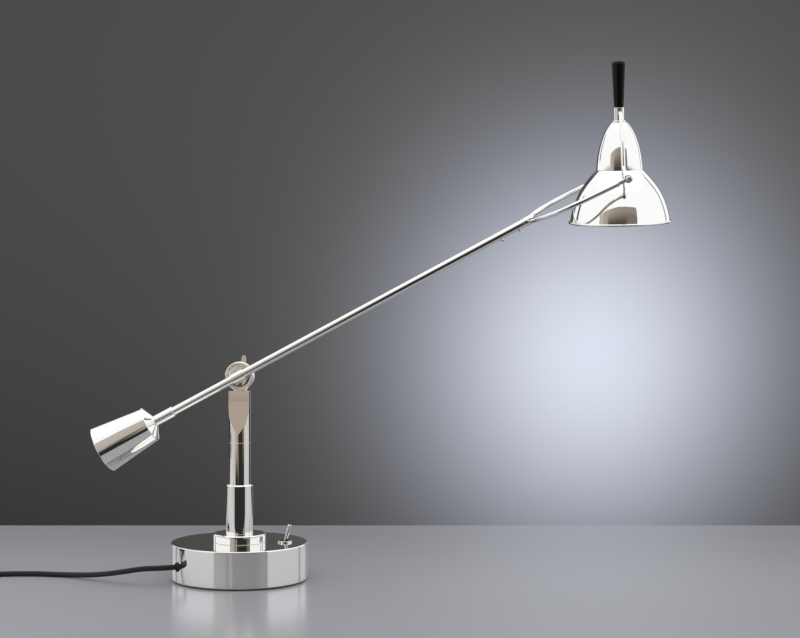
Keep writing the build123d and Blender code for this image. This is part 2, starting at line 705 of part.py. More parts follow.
# Flattened ends of the legs, each with an eye that the yoke's pin turns in.
PIN_R = 2.0
EYE_R = 4.2
EYE_HALF = 2.0
TONGUE_HALF = 1.7
TONGUE_L = FORK_REACH - LEG_END - 2.5


def fork_end(side):
    """The tongue and eye on one leg."""
    eye_plane = Plane(
        origin=PIVOT + PIVOT_DIR * side * (FORK_HALF - EYE_HALF),
        x_dir=FORK_ALONG,
        z_dir=PIVOT_DIR * side,
    )
    with BuildPart() as end:
        with BuildSketch(eye_plane):
            Circle(EYE_R)
            with Locations((LEG_END - FORK_REACH + TONGUE_L / 2, 0)):
                Rectangle(TONGUE_L, 2 * TONGUE_HALF)
        extrude(amount=2 * EYE_HALF)
        with BuildSketch(eye_plane):
            Circle(PIN_R + RUN_FIT)
        extrude(amount=2 * EYE_HALF, mode=Mode.SUBTRACT)
        collar_start = ROOT + FORK_ALONG * LEG_END + PIVOT_DIR * side * FORK_HALF
        with BuildSketch(Plane(origin=collar_start, x_dir=PIVOT_DIR, z_dir=FORK_ALONG)):
            Circle(FORK_ROD_R + 0.3)
        extrude(amount=1.6)
    return end.part


save(fork_end(-1), "fork_end_near")
save(fork_end(1), "fork_end_far")

# ================= shade =================
# Outlines are (radius, height above the pivot) points on the outer face; the wall lies inside them.
DOME_T = 0.8
DOME_LOW = 6.9
DOME_TOP = 56.8
DOME_OUTSIDE = [(24.4, DOME_LOW), (22.9, 21.1), (18.9, 37.9), (13.6, 50.0), (9.4, 55.8)]
DOME_CROWN_R = 8.6
COLLAR_IN_R = 3.6
COLLAR_OUT_R = 5.2
COLLAR_HIGH = 72.6
FLANGE_R = 6.9
FLANGE_TOP = 59.0


def inner_points(outside, wall):
    """Points one wall thickness inside the middle points of an outline that runs on the outer face."""
    inner = []
    for before, here, after in zip(outside, outside[1:], outside[2:]):
        dr, dh = after[0] - before[0], after[1] - before[1]
        run = math.hypot(dr, dh)
        inner.append((here[0] - wall * abs(dh) / run, here[1] - wall * abs(dr) / run))
    return inner


with BuildPart() as shade_dome:
    with BuildSketch(SHADE_CUT):
        with BuildLine():
            d1 = Spline(*DOME_OUTSIDE)
            d2 = Line(d1 @ 1, (DOME_CROWN_R, DOME_TOP))
            d3 = Polyline(
                d2 @ 1,
                (COLLAR_IN_R, DOME_TOP),
                (COLLAR_IN_R, DOME_TOP - DOME_T),
                (DOME_CROWN_R - DOME_T / 2, DOME_TOP - DOME_T),
            )
            dome_foot = (DOME_OUTSIDE[0][0] - DOME_T, DOME_LOW)
            d4 = Spline(d3 @ 1, *reversed(inner_points(DOME_OUTSIDE, DOME_T)), dome_foot)
            Line(d4 @ 1, d1 @ 0)
        make_face()
    revolve(axis=SHADE_AXIS)
save(shade_dome.part, "shade_dome")

# The bell has a short spigot that the dome stands round, and a rolled bead at its mouth.
BEAD_R = 1.35
RIM_R = 53.0
RIM_H = -48.5
BELL_T = 0.9
SPIGOT_TOP = DOME_LOW + 2.6
BELL_OUTSIDE = [(24.3, DOME_LOW), (32.2, -1.8), (41.6, -14.6), (48.9, -31.4), (RIM_R - 0.4, RIM_H)]
SHADE_SPIGOT_R = DOME_OUTSIDE[0][0] - DOME_T - 0.65
with BuildPart() as shade_bell:
    with BuildSketch(SHADE_CUT):
        with BuildLine():
            b1 = Line((SHADE_SPIGOT_R, SPIGOT_TOP), (SHADE_SPIGOT_R, DOME_LOW))
            b2 = Line(b1 @ 1, BELL_OUTSIDE[0])
            b3 = Spline(*BELL_OUTSIDE)
            b4 = Line(b3 @ 1, (BELL_OUTSIDE[-1][0] - BELL_T, RIM_H))
            bell_top = (BELL_OUTSIDE[0][0] - BELL_T, DOME_LOW - BELL_T)
            b5 = Spline(b4 @ 1, *reversed(inner_points(BELL_OUTSIDE, BELL_T)), bell_top)
            Polyline(
                b5 @ 1,
                (SHADE_SPIGOT_R - BELL_T, DOME_LOW - BELL_T),
                (SHADE_SPIGOT_R - BELL_T, SPIGOT_TOP),
                (SHADE_SPIGOT_R, SPIGOT_TOP),
            )
        make_face()
        with Locations((RIM_R, RIM_H)):
            Circle(BEAD_R)
    revolve(axis=SHADE_AXIS)
save(shade_bell.part, "shade_bell")

# Collar tube above the dome, holding the two yoke rods, the handle and the lampholder's nipple.
YOKE_R = 2.0
YOKE_TOP = 66.8
YOKE_IN = 3.7
COLLAR_TUBE = [
    (COLLAR_IN_R, DOME_TOP),
    (FLANGE_R, DOME_TOP),
    (FLANGE_R, FLANGE_TOP - 0.5),
    (FLANGE_R - 0.5, FLANGE_TOP),
    (COLLAR_OUT_R, FLANGE_TOP),
    (COLLAR_OUT_R, COLLAR_HIGH),
    (COLLAR_IN_R, COLLAR_HIGH),
]
with BuildPart() as shade_collar:
    add(turned(SHADE_CUT, SHADE_AXIS, COLLAR_TUBE))
    with BuildSketch(Plane(origin=PIVOT + SHADE_UP * YOKE_TOP, x_dir=SHADE_UP, z_dir=PIVOT_DIR)):
        Circle(YOKE_R)
    extrude(amount=COLLAR_OUT_R + 2, both=True, mode=Mode.SUBTRACT)
save(shade_collar.part, "shade_collar")

HANDLE_LOW = COLLAR_HIGH
HANDLE_HIGH = 121.8
HANDLE_R_LOW = 5.3
HANDLE_R_HIGH = 7.5
with BuildPart() as handle:
    with BuildSketch(SHADE_CUT):
        with BuildLine():
            h1 = Polyline(
                (0, HANDLE_LOW),
                (HANDLE_R_LOW - 0.5, HANDLE_LOW),
                (HANDLE_R_LOW, HANDLE_LOW + 0.5),
                (HANDLE_R_HIGH, HANDLE_HIGH - 3.4),
            )
            h2 = ThreePointArc(h1 @ 1, (HANDLE_R_HIGH - 1.0, HANDLE_HIGH - 1.0), (HANDLE_R_HIGH - 3.2, HANDLE_HIGH))
            Polyline(h2 @ 1, (0, HANDLE_HIGH), (0, HANDLE_LOW))
        make_face()
    revolve(axis=SHADE_AXIS)
save(handle.part, "handle")

# Yoke rods: out of the collar, down beside the dome, then out to the pivot pins.
PIN_END = FORK_HALF + 4.6
YOKE_ROUTE = [
    (YOKE_IN, YOKE_TOP),
    (10.2, YOKE_TOP),
    (13.4, 57.5),
    (22.4, 39.5),
    (26.9, 21.0),
    (28.4, 9.6),
    (46.0, 0.0),
    (PIN_END, 0.0),
]
YOKE_BENDS = [4.0, 14.0, 22.0, 40.0, 6.0, 9.0]


def yoke_rod(side):
    """One rod of the yoke, ending in the pivot pin."""
    points = [(side * r, h) for r, h in YOKE_ROUTE]
    with BuildPart() as piece:
        with BuildLine(SHADE_CUT):
            FilletPolyline(*points, radius=YOKE_BENDS)
        start = PIVOT + SHADE_UP * YOKE_TOP + PIVOT_DIR * side * YOKE_IN
        with BuildSketch(Plane(origin=start, x_dir=SHADE_UP, z_dir=PIVOT_DIR * side)):
            Circle(YOKE_R)
        sweep()
    return piece.part


save(yoke_rod(-1), "yoke_rod_near")
save(yoke_rod(1), "yoke_rod_far")

PIVOT_CUT = Plane(origin=PIVOT, x_dir=SHADE_UP, z_dir=SHADE_UP.cross(PIVOT_DIR))
NUT_START = FORK_HALF + EYE_HALF + APART
BALL_R = 3.4
BALL_FLAT_R = 2.8
SPACER_R = 3.2
SPACER_T = 1.4


def pivot_pieces(side):
    """A spacer ring inside the eye and a round cap nut outside it."""
    ball_at = NUT_START + math.sqrt(BALL_R**2 - BALL_FLAT_R**2)
    axis = Axis(PIVOT, PIVOT_DIR)
    inner = side * (FORK_HALF - EYE_HALF - APART)
    spacer = turned(
        PIVOT_CUT,
        axis,
        [
            (PIN_R, inner - side * SPACER_T),
            (SPACER_R, inner - side * SPACER_T),
            (SPACER_R, inner),
            (PIN_R, inner),
        ],
    )
    with BuildPart() as nut:
        with BuildSketch(PIVOT_CUT):
            with BuildLine():
                n1 = Line((0, side * PIN_END), (PIN_R, side * PIN_END))
                n2 = Polyline(n1 @ 1, (PIN_R, side * NUT_START), (BALL_FLAT_R, side * NUT_START))
                n3 = ThreePointArc(n2 @ 1, (BALL_R, side * ball_at), (0, side * (ball_at + BALL_R)))
                Line(n3 @ 1, n1 @ 0)
            make_face()
        revolve(axis=axis)
    return spacer, nut.part


for side, place in ((-1, "near"), (1, "far")):
    spacer, nut = pivot_pieces(side)
    save(spacer, f"pivot_spacer_{place}")
    save(nut, f"pivot_nut_{place}")

# Lampholder on its nipple inside the dome, and the bulb.
HOLDER_TOP = 40.0
HOLDER_LOW = 11.0
HOLDER_R = 13.0
HOLDER_FLOOR = HOLDER_TOP - 6.0
SHOULDER_R = 8.0
SHOULDER_HIGH = HOLDER_TOP + 6.0
NIPPLE_TOP = COLLAR_HIGH - 10.1
THREAD_R = 8.0
HOLDER = [
    (0, NIPPLE_TOP),
    (COLLAR_IN_R, NIPPLE_TOP),
    (COLLAR_IN_R, SHOULDER_HIGH + 1),
    (SHOULDER_R, SHOULDER_HIGH),
    (HOLDER_R, HOLDER_TOP),
    (HOLDER_R, HOLDER_LOW),
    (THREAD_R, HOLDER_LOW),
    (THREAD_R, HOLDER_FLOOR),
    (0, HOLDER_FLOOR),
]
save(turned(SHADE_CUT, SHADE_AXIS, HOLDER), "lampholder")

CAP_LOW = HOLDER_LOW + 1.5
CONTACT_R = 3.0
BULB_CENTRE = -13.0
BULB_R = 22.0
BULB_NECK_R = THREAD_R - 0.8
SCREW_CAP = [
    (0, HOLDER_FLOOR),
    (CONTACT_R, HOLDER_FLOOR),
    (THREAD_R - 1.2, HOLDER_FLOOR - 3),
    (THREAD_R - 0.3, HOLDER_FLOOR - 5),
    (THREAD_R - 0.3, CAP_LOW),
    (0, CAP_LOW),
]
save(turned(SHADE_CUT, SHADE_AXIS, SCREW_CAP), "bulb_cap")

with BuildPart() as bulb:
    with BuildSketch(SHADE_CUT):
        with BuildLine():
            g1 = Line((0, CAP_LOW), (BULB_NECK_R, CAP_LOW))
            g2 = Spline(
                g1 @ 1,
                (BULB_NECK_R + 2.0, CAP_LOW - 4.3),
                (BULB_R * math.cos(math.radians(45)), BULB_CENTRE + BULB_R * math.sin(math.radians(45))),
                tangents=((0.1, -1), (1, -1)),
            )
            g3 = CenterArc((0, BULB_CENTRE), BULB_R, 45, -135)
            Line(g3 @ 1, g1 @ 0)
        make_face()
    revolve(axis=SHADE_AXIS)
save(bulb.part, "bulb")

# ================= mains cord, coil and plug =================
CORD_START = SHELL_WALL_R - 9.0
STRAIGHT_END = BASE_R + 17.0
COIL_X = -328.0
COIL_Y = 12.0
COIL_IN_R = 25.0
COIL_STEP = 6.4
COIL_TURNS = 3
RISE = 0.25
COIL_SPREAD = 7.2
COIL_OUT_R = COIL_IN_R + COIL_STEP * COIL_TURNS
TAIL_X = COIL_X - COIL_IN_R + COIL_STEP * RISE - COIL_SPREAD * COIL_TURNS
ON_TABLE = CORD_R

# The stretch that shows: out of the gland, down to the table and away to the left.
CORD_ROUTE = [
    (CORD_OUT.X * CORD_START, CORD_OUT.Y * CORD_START, CORD_Z),
    (CORD_OUT.X * STRAIGHT_END, CORD_OUT.Y * STRAIGHT_END, CORD_Z),
    (-95.0, -57.0, 19.2),
    (-122.0, -47.5, 13.0),
    (-153.0, -29.0, 6.4),
    (-187.0, -13.0, ON_TABLE),
    (-227.0, -8.0, ON_TABLE),
    (-266.0, -14.0, ON_TABLE),
    (-302.0, COIL_Y - COIL_OUT_R, ON_TABLE),
    (COIL_X, COIL_Y - COIL_OUT_R, ON_TABLE),
]
# From the coil's upper layer down to the table and into the plug.
SECOND = ON_TABLE + COIL_STEP
PLUG_T = 13.6
PLUG_Z = PLUG_T / 2 + 0.2
TAIL_ROUTE = [
    (TAIL_X, COIL_Y, SECOND),
    (TAIL_X, COIL_Y + 21, SECOND),
    (-372.0, 53.0, 4.4),
    (-371.0, 69.0, ON_TABLE + 0.2),
    (-370.0, 86.0, PLUG_Z),
    (-368.0, 116.0, PLUG_Z),
]


def route_radii(points):
    """The bend radius at each corner: 0.45 of the shorter run over the tangent of half the turn."""
    radii = []
    for a, b, c in zip(points, points[1:], points[2:]):
        run_in = Vector(*b) - Vector(*a)
        run_out = Vector(*c) - Vector(*b)
        half = math.radians(run_in.get_angle(run_out)) / 2
        radii.append(0.45 * min(run_in.length, run_out.length) / math.tan(half))
    return radii


def cord_tube(name, points):
    """A round cord along straight runs joined by tangent arcs."""
    radii = route_radii(points)
    with BuildPart() as tube:
        with BuildLine() as path:
            FilletPolyline(*points, radius=radii)
        with BuildSketch(Plane(origin=points[0], z_dir=Vector(*points[1]) - Vector(*points[0]))):
            Circle(CORD_R)
        sweep()
    length = path.wires()[0].length
    share = tube.part.volume / (math.pi * CORD_R**2 * length)
    print(name, "length", round(length, 1), "radii", [round(r) for r in radii], "volume share", round(share, 4))
    return tube.part, length


def coil_point(turn):
    """Centre line of the coil after this many turns: in on the table, up, and out on top."""
    inwards = min(turn, COIL_TURNS + RISE)
    radius = COIL_OUT_R - COIL_STEP * inwards + COIL_SPREAD * (turn - inwards)
    part_way = min(max((turn - COIL_TURNS) / RISE, 0), 1)
    height = ON_TABLE + COIL_STEP * part_way * part_way * (3 - 2 * part_way)
    angle = -math.pi / 2 - 2 * math.pi * turn
    return Vector(COIL_X + radius * math.cos(angle), COIL_Y + radius * math.sin(angle), height)


def coil_way(turn, end):
    """The coil's direction there; its two ends run square to what they meet."""
    if turn == 0:
        return Vector(-1, 0, 0)
    if turn == end:
        return Vector(0, 1, 0)
    step = 1e-4
    return (coil_point(turn + step) - coil_point(turn - step)).normalized()


def cord_coil():
    """The put-away length, one unbroken tube on biarcs of a quarter turn."""
    end = 2 * COIL_TURNS + RISE
    knots = [k / 4 for k in range(int(end * 4) + 1)]
    with BuildPart() as coil:
        with BuildLine() as path:
            for t0, t1 in zip(knots, knots[1:]):
                p0, p1 = coil_point(t0), coil_point(t1)
                w0, w1 = coil_way(t0, end), coil_way(t1, end)
                gap = p1 - p0
                both = w0 + w1
                a = both.dot(both) - 4
                b = -2 * gap.dot(both)
                c = gap.dot(gap)
                d = (-b - math.sqrt(b * b - 4 * a * c)) / (2 * a)
                join = (p0 + w0 * d + p1 - w1 * d) / 2
                first = TangentArc(p0, join, tangent=w0)
                TangentArc(join, p1, tangent=first % 1)
        with BuildSketch(Plane(origin=coil_point(0), z_dir=(-1, 0, 0))):
            Circle(CORD_R)
        sweep()
    wire = path.wires()[0]
    print("coil length", round(wire.length, 1), "volume share", coil.part.volume / (math.pi * CORD_R**2 * wire.length))
    samples = 900
    spots = [wire.position_at(i / samples) for i in range(samples + 1)]
    apart = int(samples * 0.4 / end)
    least = min(
        (spots[i] - spots[j]).length
        for i in range(0, samples + 1, 2)
        for j in range(i + apart, samples + 1, 1)
    )
    print("coil least gap to itself", round(least - 2 * CORD_R, 2))
    return coil.part, wire.length


cord, cord_length = cord_tube("cord", CORD_ROUTE)
save(cord, "cord")
coil, coil_length = cord_coil()
save(coil, "cord_coil")
tail, tail_length = cord_tube("cord_tail", TAIL_ROUTE)
save(tail, "cord_tail")
print("free cord", round(cord_length - (BASE_R - CORD_START) + coil_length + tail_length, 1))

# Flat two-pin plug, lying on its broad side, with a tapered sleeve where the cord enters it.
PLUG_BACK = Vector(*TAIL_ROUTE[-1])
PLUG_WAY = (PLUG_BACK - Vector(*TAIL_ROUTE[-2])).normalized()
PLUG_L = 35.0
PLUG_NECK_L = 12.0
PLUG_BACK_T = 9.0
PLUG_BACK_W = 11.0
PLUG_NECK_W = 24.0
PLUG_W = 33.0
PLUG_ROUND = 6.0
PIN_APART = 19.0
PLUG_PIN_R = 2.0
PLUG_PIN_L = 19.0
RELIEF_L = 21.0
RELIEF_R = 4.3
RELIEF_TIP_R = 3.4


def plug_plane(along):
    """Square to the plug's length, this far from its back; local x is up."""
    return Plane(origin=PLUG_BACK + PLUG_WAY * along, x_dir=(0, 0, 1), z_dir=PLUG_WAY)


with BuildPart() as plug_body:
    with BuildSketch(plug_plane(0)):
        RectangleRounded(PLUG_BACK_T, PLUG_BACK_W, PLUG_ROUND / 2)
    with BuildSketch(plug_plane(PLUG_NECK_L)):
        RectangleRounded(PLUG_T, PLUG_NECK_W, PLUG_ROUND - 1)
    loft()
    with BuildSketch(plug_plane(PLUG_NECK_L)):
        RectangleRounded(PLUG_T, PLUG_NECK_W, PLUG_ROUND - 1)
    with BuildSketch(plug_plane(PLUG_L)):
        RectangleRounded(PLUG_T, PLUG_W, PLUG_ROUND)
    loft()
save(plug_body.part, "plug_body")

RELIEF = [
    (CORD_R, -RELIEF_L),
    (RELIEF_TIP_R, -RELIEF_L),
    (RELIEF_R, 0),
    (CORD_R, 0),
]
RELIEF_CUT = Plane(origin=PLUG_BACK, x_dir=(0, 0, 1), z_dir=Vector(0, 0, 1).cross(PLUG_WAY))
save(turned(RELIEF_CUT, Axis(PLUG_BACK, PLUG_WAY), RELIEF), "plug_relief")

with BuildPart() as plug_pins:
    with BuildSketch(plug_plane(PLUG_L)):
        with Locations((0, -PIN_APART / 2), (0, PIN_APART / 2)):
            Circle(PLUG_PIN_R)
    extrude(amount=PLUG_PIN_L)
    chamfer(plug_pins.faces().sort_by(Axis(PLUG_BACK, PLUG_WAY))[-2:].edges(), 0.4 * PLUG_PIN_R)
save(plug_pins.part, "plug_pins")
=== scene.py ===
import json
import math

import bmesh
import bpy
from mathutils import Matrix, Vector


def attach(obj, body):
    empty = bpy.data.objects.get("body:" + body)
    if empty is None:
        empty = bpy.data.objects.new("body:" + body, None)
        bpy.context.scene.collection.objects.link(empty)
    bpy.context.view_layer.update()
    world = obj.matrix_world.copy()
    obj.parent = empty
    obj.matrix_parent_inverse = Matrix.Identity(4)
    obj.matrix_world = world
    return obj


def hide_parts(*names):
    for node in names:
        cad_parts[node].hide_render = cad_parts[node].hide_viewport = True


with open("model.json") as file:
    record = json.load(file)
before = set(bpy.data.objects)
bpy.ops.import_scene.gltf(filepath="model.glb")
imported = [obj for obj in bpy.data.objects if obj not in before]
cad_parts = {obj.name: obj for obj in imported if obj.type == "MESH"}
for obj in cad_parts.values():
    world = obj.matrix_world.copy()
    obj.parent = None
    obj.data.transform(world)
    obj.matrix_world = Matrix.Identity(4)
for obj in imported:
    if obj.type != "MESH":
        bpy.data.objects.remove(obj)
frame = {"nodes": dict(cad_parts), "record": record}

bl_info = {
    "name": "Balance desk lamp",
    "version": (1, 0, 0),
    "blender": (4, 5, 0),
    "location": "View3D > Sidebar > Lamp",
    "description": "Builds the looks of a counterweight balance desk lamp on its CAD frame",
    "category": "Object",
}

MM = 0.001


def linear(digits):
    """The linear light, as the shaders take it, of an sRGB colour given as six hex digits."""
    light = []
    for start in (0, 2, 4):
        level = int(digits[start : start + 2], 16) / 255
        light.append(level / 12.92 if level <= 0.04045 else ((level + 0.055) / 1.055) ** 2.4)
    return (*light, 1.0)


# ---------------------------------------------------------------------------
# Settings that a user would change
# ---------------------------------------------------------------------------


def length(name, description, millimetres, precision=5):
    """A setting that is a length, kept in metres."""
    return bpy.props.FloatProperty(
        name=name,
        description=description,
        default=millimetres * MM,
        unit="LENGTH",
        precision=precision,
    )


def colour(name, description, start):
    """A setting that is a colour; it starts as this sRGB hex value and is kept as linear light."""
    return bpy.props.FloatVectorProperty(
        name=name,
        description=description,
        default=linear(start),
        size=4,
        min=0.0,
        max=1.0,
        subtype="COLOR",
    )


class LampSizes(bpy.types.PropertyGroup):
    """Sizes of the looks that aren't fixed by the CAD frame."""

    cord_length: length("Cord length", "Free length of the mains cord from the base to its plug", 1730.0)
    cord_diameter: length("Cord diameter", "Outer diameter of the braided cord", 5.8)
    braid_pitch: length("Braid pitch", "Length of one stitch of the cord's braid", 1.7)
    edge_round: length("Buffed edge", "Radius that buffing leaves on the edges of the polished metal", 0.5)
    haze_size: length("Polishing haze", "Size of the cloudy patches that hand polishing leaves", 22.0)


class LampColours(bpy.types.PropertyGroup):
    """Colours of the finishes."""

    nickel: colour("Nickel plate", "Polished nickel", "EDECE7")
    steel: colour("Plated steel", "Screws, nuts and stud", "D9D6CF")
    brass: colour("Brass", "Turned brass where it is bright", "DBB86B")
    tarnish: colour("Tarnish", "Turned brass where it has darkened", "9A814B")
    lacquer: colour("Handle", "Black lacquer", "050506")
    plastic: colour("Plastic", "Pressed black plastic and rubber", "1A1A1A")
    yarn: colour("Cord", "Black cotton where a yarn stands up", "0D0D0D")
    # Painted shade: the cord's colour is darker down between the yarns than on them.
    painted_shade_between_yarns: colour("Cord, between yarns", "Black cotton down between the yarns", "050505")
    felt: colour("Felt", "Lighter fibres of the felt under the base", "2E2E2E")
    felt_dark: colour("Felt, dark", "Darker fibres of the felt under the base", "171717")
    table: colour("Table", "Table top", "A6A7A8")


def sizes():
    return bpy.context.scene.lamp_sizes


def colours():
    return bpy.context.scene.lamp_colours


# ---------------------------------------------------------------------------
# Node helpers
# ---------------------------------------------------------------------------


def add(tree, kind, *values, **named):
    """Adds one shader node and returns the first output that it has in use. Values go to the inputs in use,
    in their order. A name that starts with a capital is an input's, and any other is a setting's."""
    node = tree.nodes.new("ShaderNode" + kind)
    settings = {name: value for name, value in named.items() if name.islower()}
    for name, value in settings.items():
        setattr(node, name, value)
    inputs = list(zip([socket for socket in node.inputs if socket.enabled], values))
    inputs += [(node.inputs[name.replace("_", " ")], named[name]) for name in named if name not in settings]
    for socket, value in inputs:
        if isinstance(value, bpy.types.NodeSocket):
            tree.links.new(value, socket)
        else:
            socket.default_value = value
    return next((socket for socket in node.outputs if socket.enabled), None)


# The setting that makes a MapRange node ease in and out, where it would run straight.
SMOOTH = {"interpolation_type": "SMOOTHSTEP"}


def material(name):
    """A new material and its empty node tree."""
    mat = bpy.data.materials.new(name)
    mat.use_nodes = True
    mat.node_tree.nodes.clear()
    return mat, mat.node_tree


def place(tree, stretch=(1.0, 1.0, 1.0)):
    """Where a point is on its piece, in metres, stretched."""
    where = add(tree, "TexCoord").node.outputs["Object"]
    return add(tree, "Mapping", where, Scale=stretch)


def window(tree, value, low, high, soft):
    """1 between low and high, 0 outside, with edges that are soft by this much to each side."""
    up = add(tree, "MapRange", value, low - soft, low + soft, **SMOOTH)
    down = add(tree, "MapRange", value, high - soft, high + soft, **SMOOTH)
    return add(tree, "Math", up, down, operation="SUBTRACT")


# ---------------------------------------------------------------------------
# Materials of the lamp
# ---------------------------------------------------------------------------

# A noise's Scale is one over the real size of its patches. One pixel is about 1.1 mm on the lamp, so grain
# and fibres are too fine to show one by one. Where one is drawn coarser than it is, a comment says so.

# Colours of what shows little or only from below, in sRGB hex.
IRON = "3B3B3C"
RUST = "543B2B"
FIBRE = "733D29"
FIBRE_STREAK = "542B1F"
OPAL = "F2F0EB"
OPAL_THIN = "E6E3DB"
# Painted shade: the pivot nuts' sockets are coloured near black so that they read as dark holes.
BORE_PAINTED_SHADE = "080808"


def polished_nickel():
    """Nickel plate, buffed on a wheel. It is a warm white near mirror: its gloss varies a little in cloudy
    patches, the plating has a very slight orange peel, and buffed edges catch a thin bright line."""
    mat, tree = material("Polished nickel plate")
    where = place(tree)
    haze = add(tree, "TexNoise", Vector=where, Scale=1 / sizes().haze_size, Detail=3.0)
    # The wheel's finest scratches are under 0.1 mm, and are drawn 1.2 mm across to show at all.
    scratches = add(tree, "TexNoise", Vector=where, Scale=1 / (1.2 * MM), Detail=2.0)
    cloudy = add(tree, "MapRange", haze, To_Min=0.012, To_Max=0.05)
    gloss = add(tree, "Math", scratches, 0.008, cloudy, operation="MULTIPLY_ADD")
    swell = add(tree, "TexNoise", Vector=where, Scale=1 / (9.0 * MM), Detail=1.0)
    soft_edge = add(tree, "Bevel", Radius=sizes().edge_round, samples=6)
    peel = add(tree, "Bump", Distance=0.012 * MM, Height=swell, Normal=soft_edge)
    inputs = {"Base_Color": colours().nickel, "Metallic": 1.0, "Roughness": gloss, "Normal": peel}
    add(tree, "OutputMaterial", Surface=add(tree, "BsdfPrincipled", **inputs))
    return mat


def plated_steel():
    """Bright plated machine screws and nuts. Fine turning marks blur the reflections, so they read a
    little duller and greyer than the nickel beside them."""
    mat, tree = material("Plated turned steel")
    # Real turning marks are about 0.1 mm apart, and are drawn 0.5 mm apart.
    marks = add(tree, "TexNoise", Vector=place(tree, (1.0, 1.0, 5.0)), Scale=1 / (0.5 * MM), Detail=3.0)
    gloss = add(tree, "MapRange", marks, To_Min=0.07, To_Max=0.16)
    soft_edge = add(tree, "Bevel", Radius=0.7 * sizes().edge_round, samples=6)
    ridges = add(tree, "Bump", Distance=0.004 * MM, Height=marks, Normal=soft_edge)
    inputs = {"Base_Color": colours().steel, "Metallic": 1.0, "Roughness": gloss, "Normal": ridges}
    add(tree, "OutputMaterial", Surface=add(tree, "BsdfPrincipled", **inputs))
    return mat


def turned_brass():
    """Brass as turned and handled: yellow, with darker tarnish in patches and soft highlights."""
    mat, tree = material("Turned brass")
    patches = add(tree, "TexNoise", Vector=place(tree), Scale=1 / (6.0 * MM), Detail=4.0)
    dulled = add(tree, "MapRange", patches, To_Min=0.0, To_Max=0.5)
    tint = add(tree, "Mix", dulled, colours().brass, colours().tarnish, data_type="RGBA")
    gloss = add(tree, "MapRange", patches, To_Min=0.16, To_Max=0.34)
    inputs = {"Base_Color": tint, "Metallic": 1.0, "Roughness": gloss}
    add(tree, "OutputMaterial", Surface=add(tree, "BsdfPrincipled", **inputs))
    return mat


def black_lacquer():
    """Turned wood under several coats of rubbed black lacquer: deep black, a soft highlight down each side
    with a faint sharp one over it, and a slight ripple that keeps it from being ruler-straight."""
    mat, tree = material("Rubbed black lacquer")
    ripple = add(tree, "TexNoise", Vector=place(tree, (1.0, 1.0, 0.35)), Scale=1 / (5.0 * MM), Detail=2.0)
    inputs = {
        "Base_Color": colours().lacquer,
        "Specular_IOR_Level": 0.2,
        "Roughness": add(tree, "MapRange", ripple, To_Min=0.24, To_Max=0.30),
        "Coat_Weight": 0.06,
        "Coat_Roughness": 0.04,
        "Coat_Normal": add(tree, "Bump", Distance=0.015 * MM, Height=ripple),
    }
    add(tree, "OutputMaterial", Surface=add(tree, "BsdfPrincipled", **inputs))
    return mat


def dark_moulding(name, smoothest, roughest, grain, depth):
    """Pressed phenolic or rubber: black with a faint grain from the mould, so highlights stay broad and
    grey. A mould's grain is about 0.1 mm, and is drawn several times coarser."""
    mat, tree = material(name)
    texture = add(tree, "TexNoise", Vector=place(tree), Scale=1 / grain, Detail=4.0)
    gloss = add(tree, "MapRange", texture, To_Min=smoothest, To_Max=roughest)
    grained = add(tree, "Bump", Distance=depth, Height=texture)
    inputs = {"Base_Color": colours().plastic, "Roughness": gloss, "Normal": grained}
    add(tree, "OutputMaterial", Surface=add(tree, "BsdfPrincipled", **inputs))
    return mat


def black_plastic():
    return dark_moulding("Pressed phenolic", 0.28, 0.42, 0.6 * MM, 0.01 * MM)


def black_rubber():
    return dark_moulding("Moulded rubber", 0.6, 0.8, 0.4 * MM, 0.03 * MM)


def cast_iron():
    """Sand-cast ballast, unpainted: rough, pitted and nearly black, with rusty brown in patches."""
    mat, tree = material("Sand-cast iron")
    where = place(tree)
    pits = add(tree, "TexNoise", Vector=where, Scale=1 / (2.5 * MM), Detail=8.0)
    patches = add(tree, "TexNoise", Vector=where, Scale=1 / (14.0 * MM), Detail=4.0)
    rusty = add(tree, "MapRange", patches, 0.5, 0.75, **SMOOTH)
    tint = add(tree, "Mix", rusty, linear(IRON), linear(RUST), data_type="RGBA")
    pitted = add(tree, "Bump", Distance=0.25 * MM, Height=pits)
    inputs = {"Base_Color": tint, "Metallic": 0.6, "Roughness": 0.62, "Normal": pitted}
    add(tree, "OutputMaterial", Surface=add(tree, "BsdfPrincipled", **inputs))
    return mat


def pressed_felt():
    """Wool felt, pressed and cut: tangled fibres make it flat black with a pale fuzz at the rim. The fibres
    are 0.03 mm thick, and are drawn 0.4 mm thick, as tufts of them."""
    mat, tree = material("Pressed wool felt")
    fibres = add(tree, "TexNoise", Vector=place(tree, (1.0, 1.0, 2.0)), Scale=1 / (0.4 * MM), Detail=6.0)
    inputs = {
        "Base_Color": add(tree, "Mix", fibres, colours().felt_dark, colours().felt, data_type="RGBA"),
        "Roughness": 0.95,
        "Sheen_Weight": 0.5,
        "Normal": add(tree, "Bump", Distance=0.2 * MM, Height=fibres),
    }
    add(tree, "OutputMaterial", Surface=add(tree, "BsdfPrincipled", **inputs))
    return mat


def red_fibre():
    """Vulcanised fibre sheet, die-cut: dull red-brown with slightly darker streaks of pulp."""
    mat, tree = material("Vulcanised fibre")
    pulp = add(tree, "TexNoise", Vector=place(tree, (3.0, 1.0, 1.0)), Scale=1 / (1.5 * MM), Detail=5.0)
    tint = add(tree, "Mix", pulp, linear(FIBRE), linear(FIBRE_STREAK), data_type="RGBA")
    add(tree, "OutputMaterial", Surface=add(tree, "BsdfPrincipled", Base_Color=tint, Roughness=0.6))
    return mat


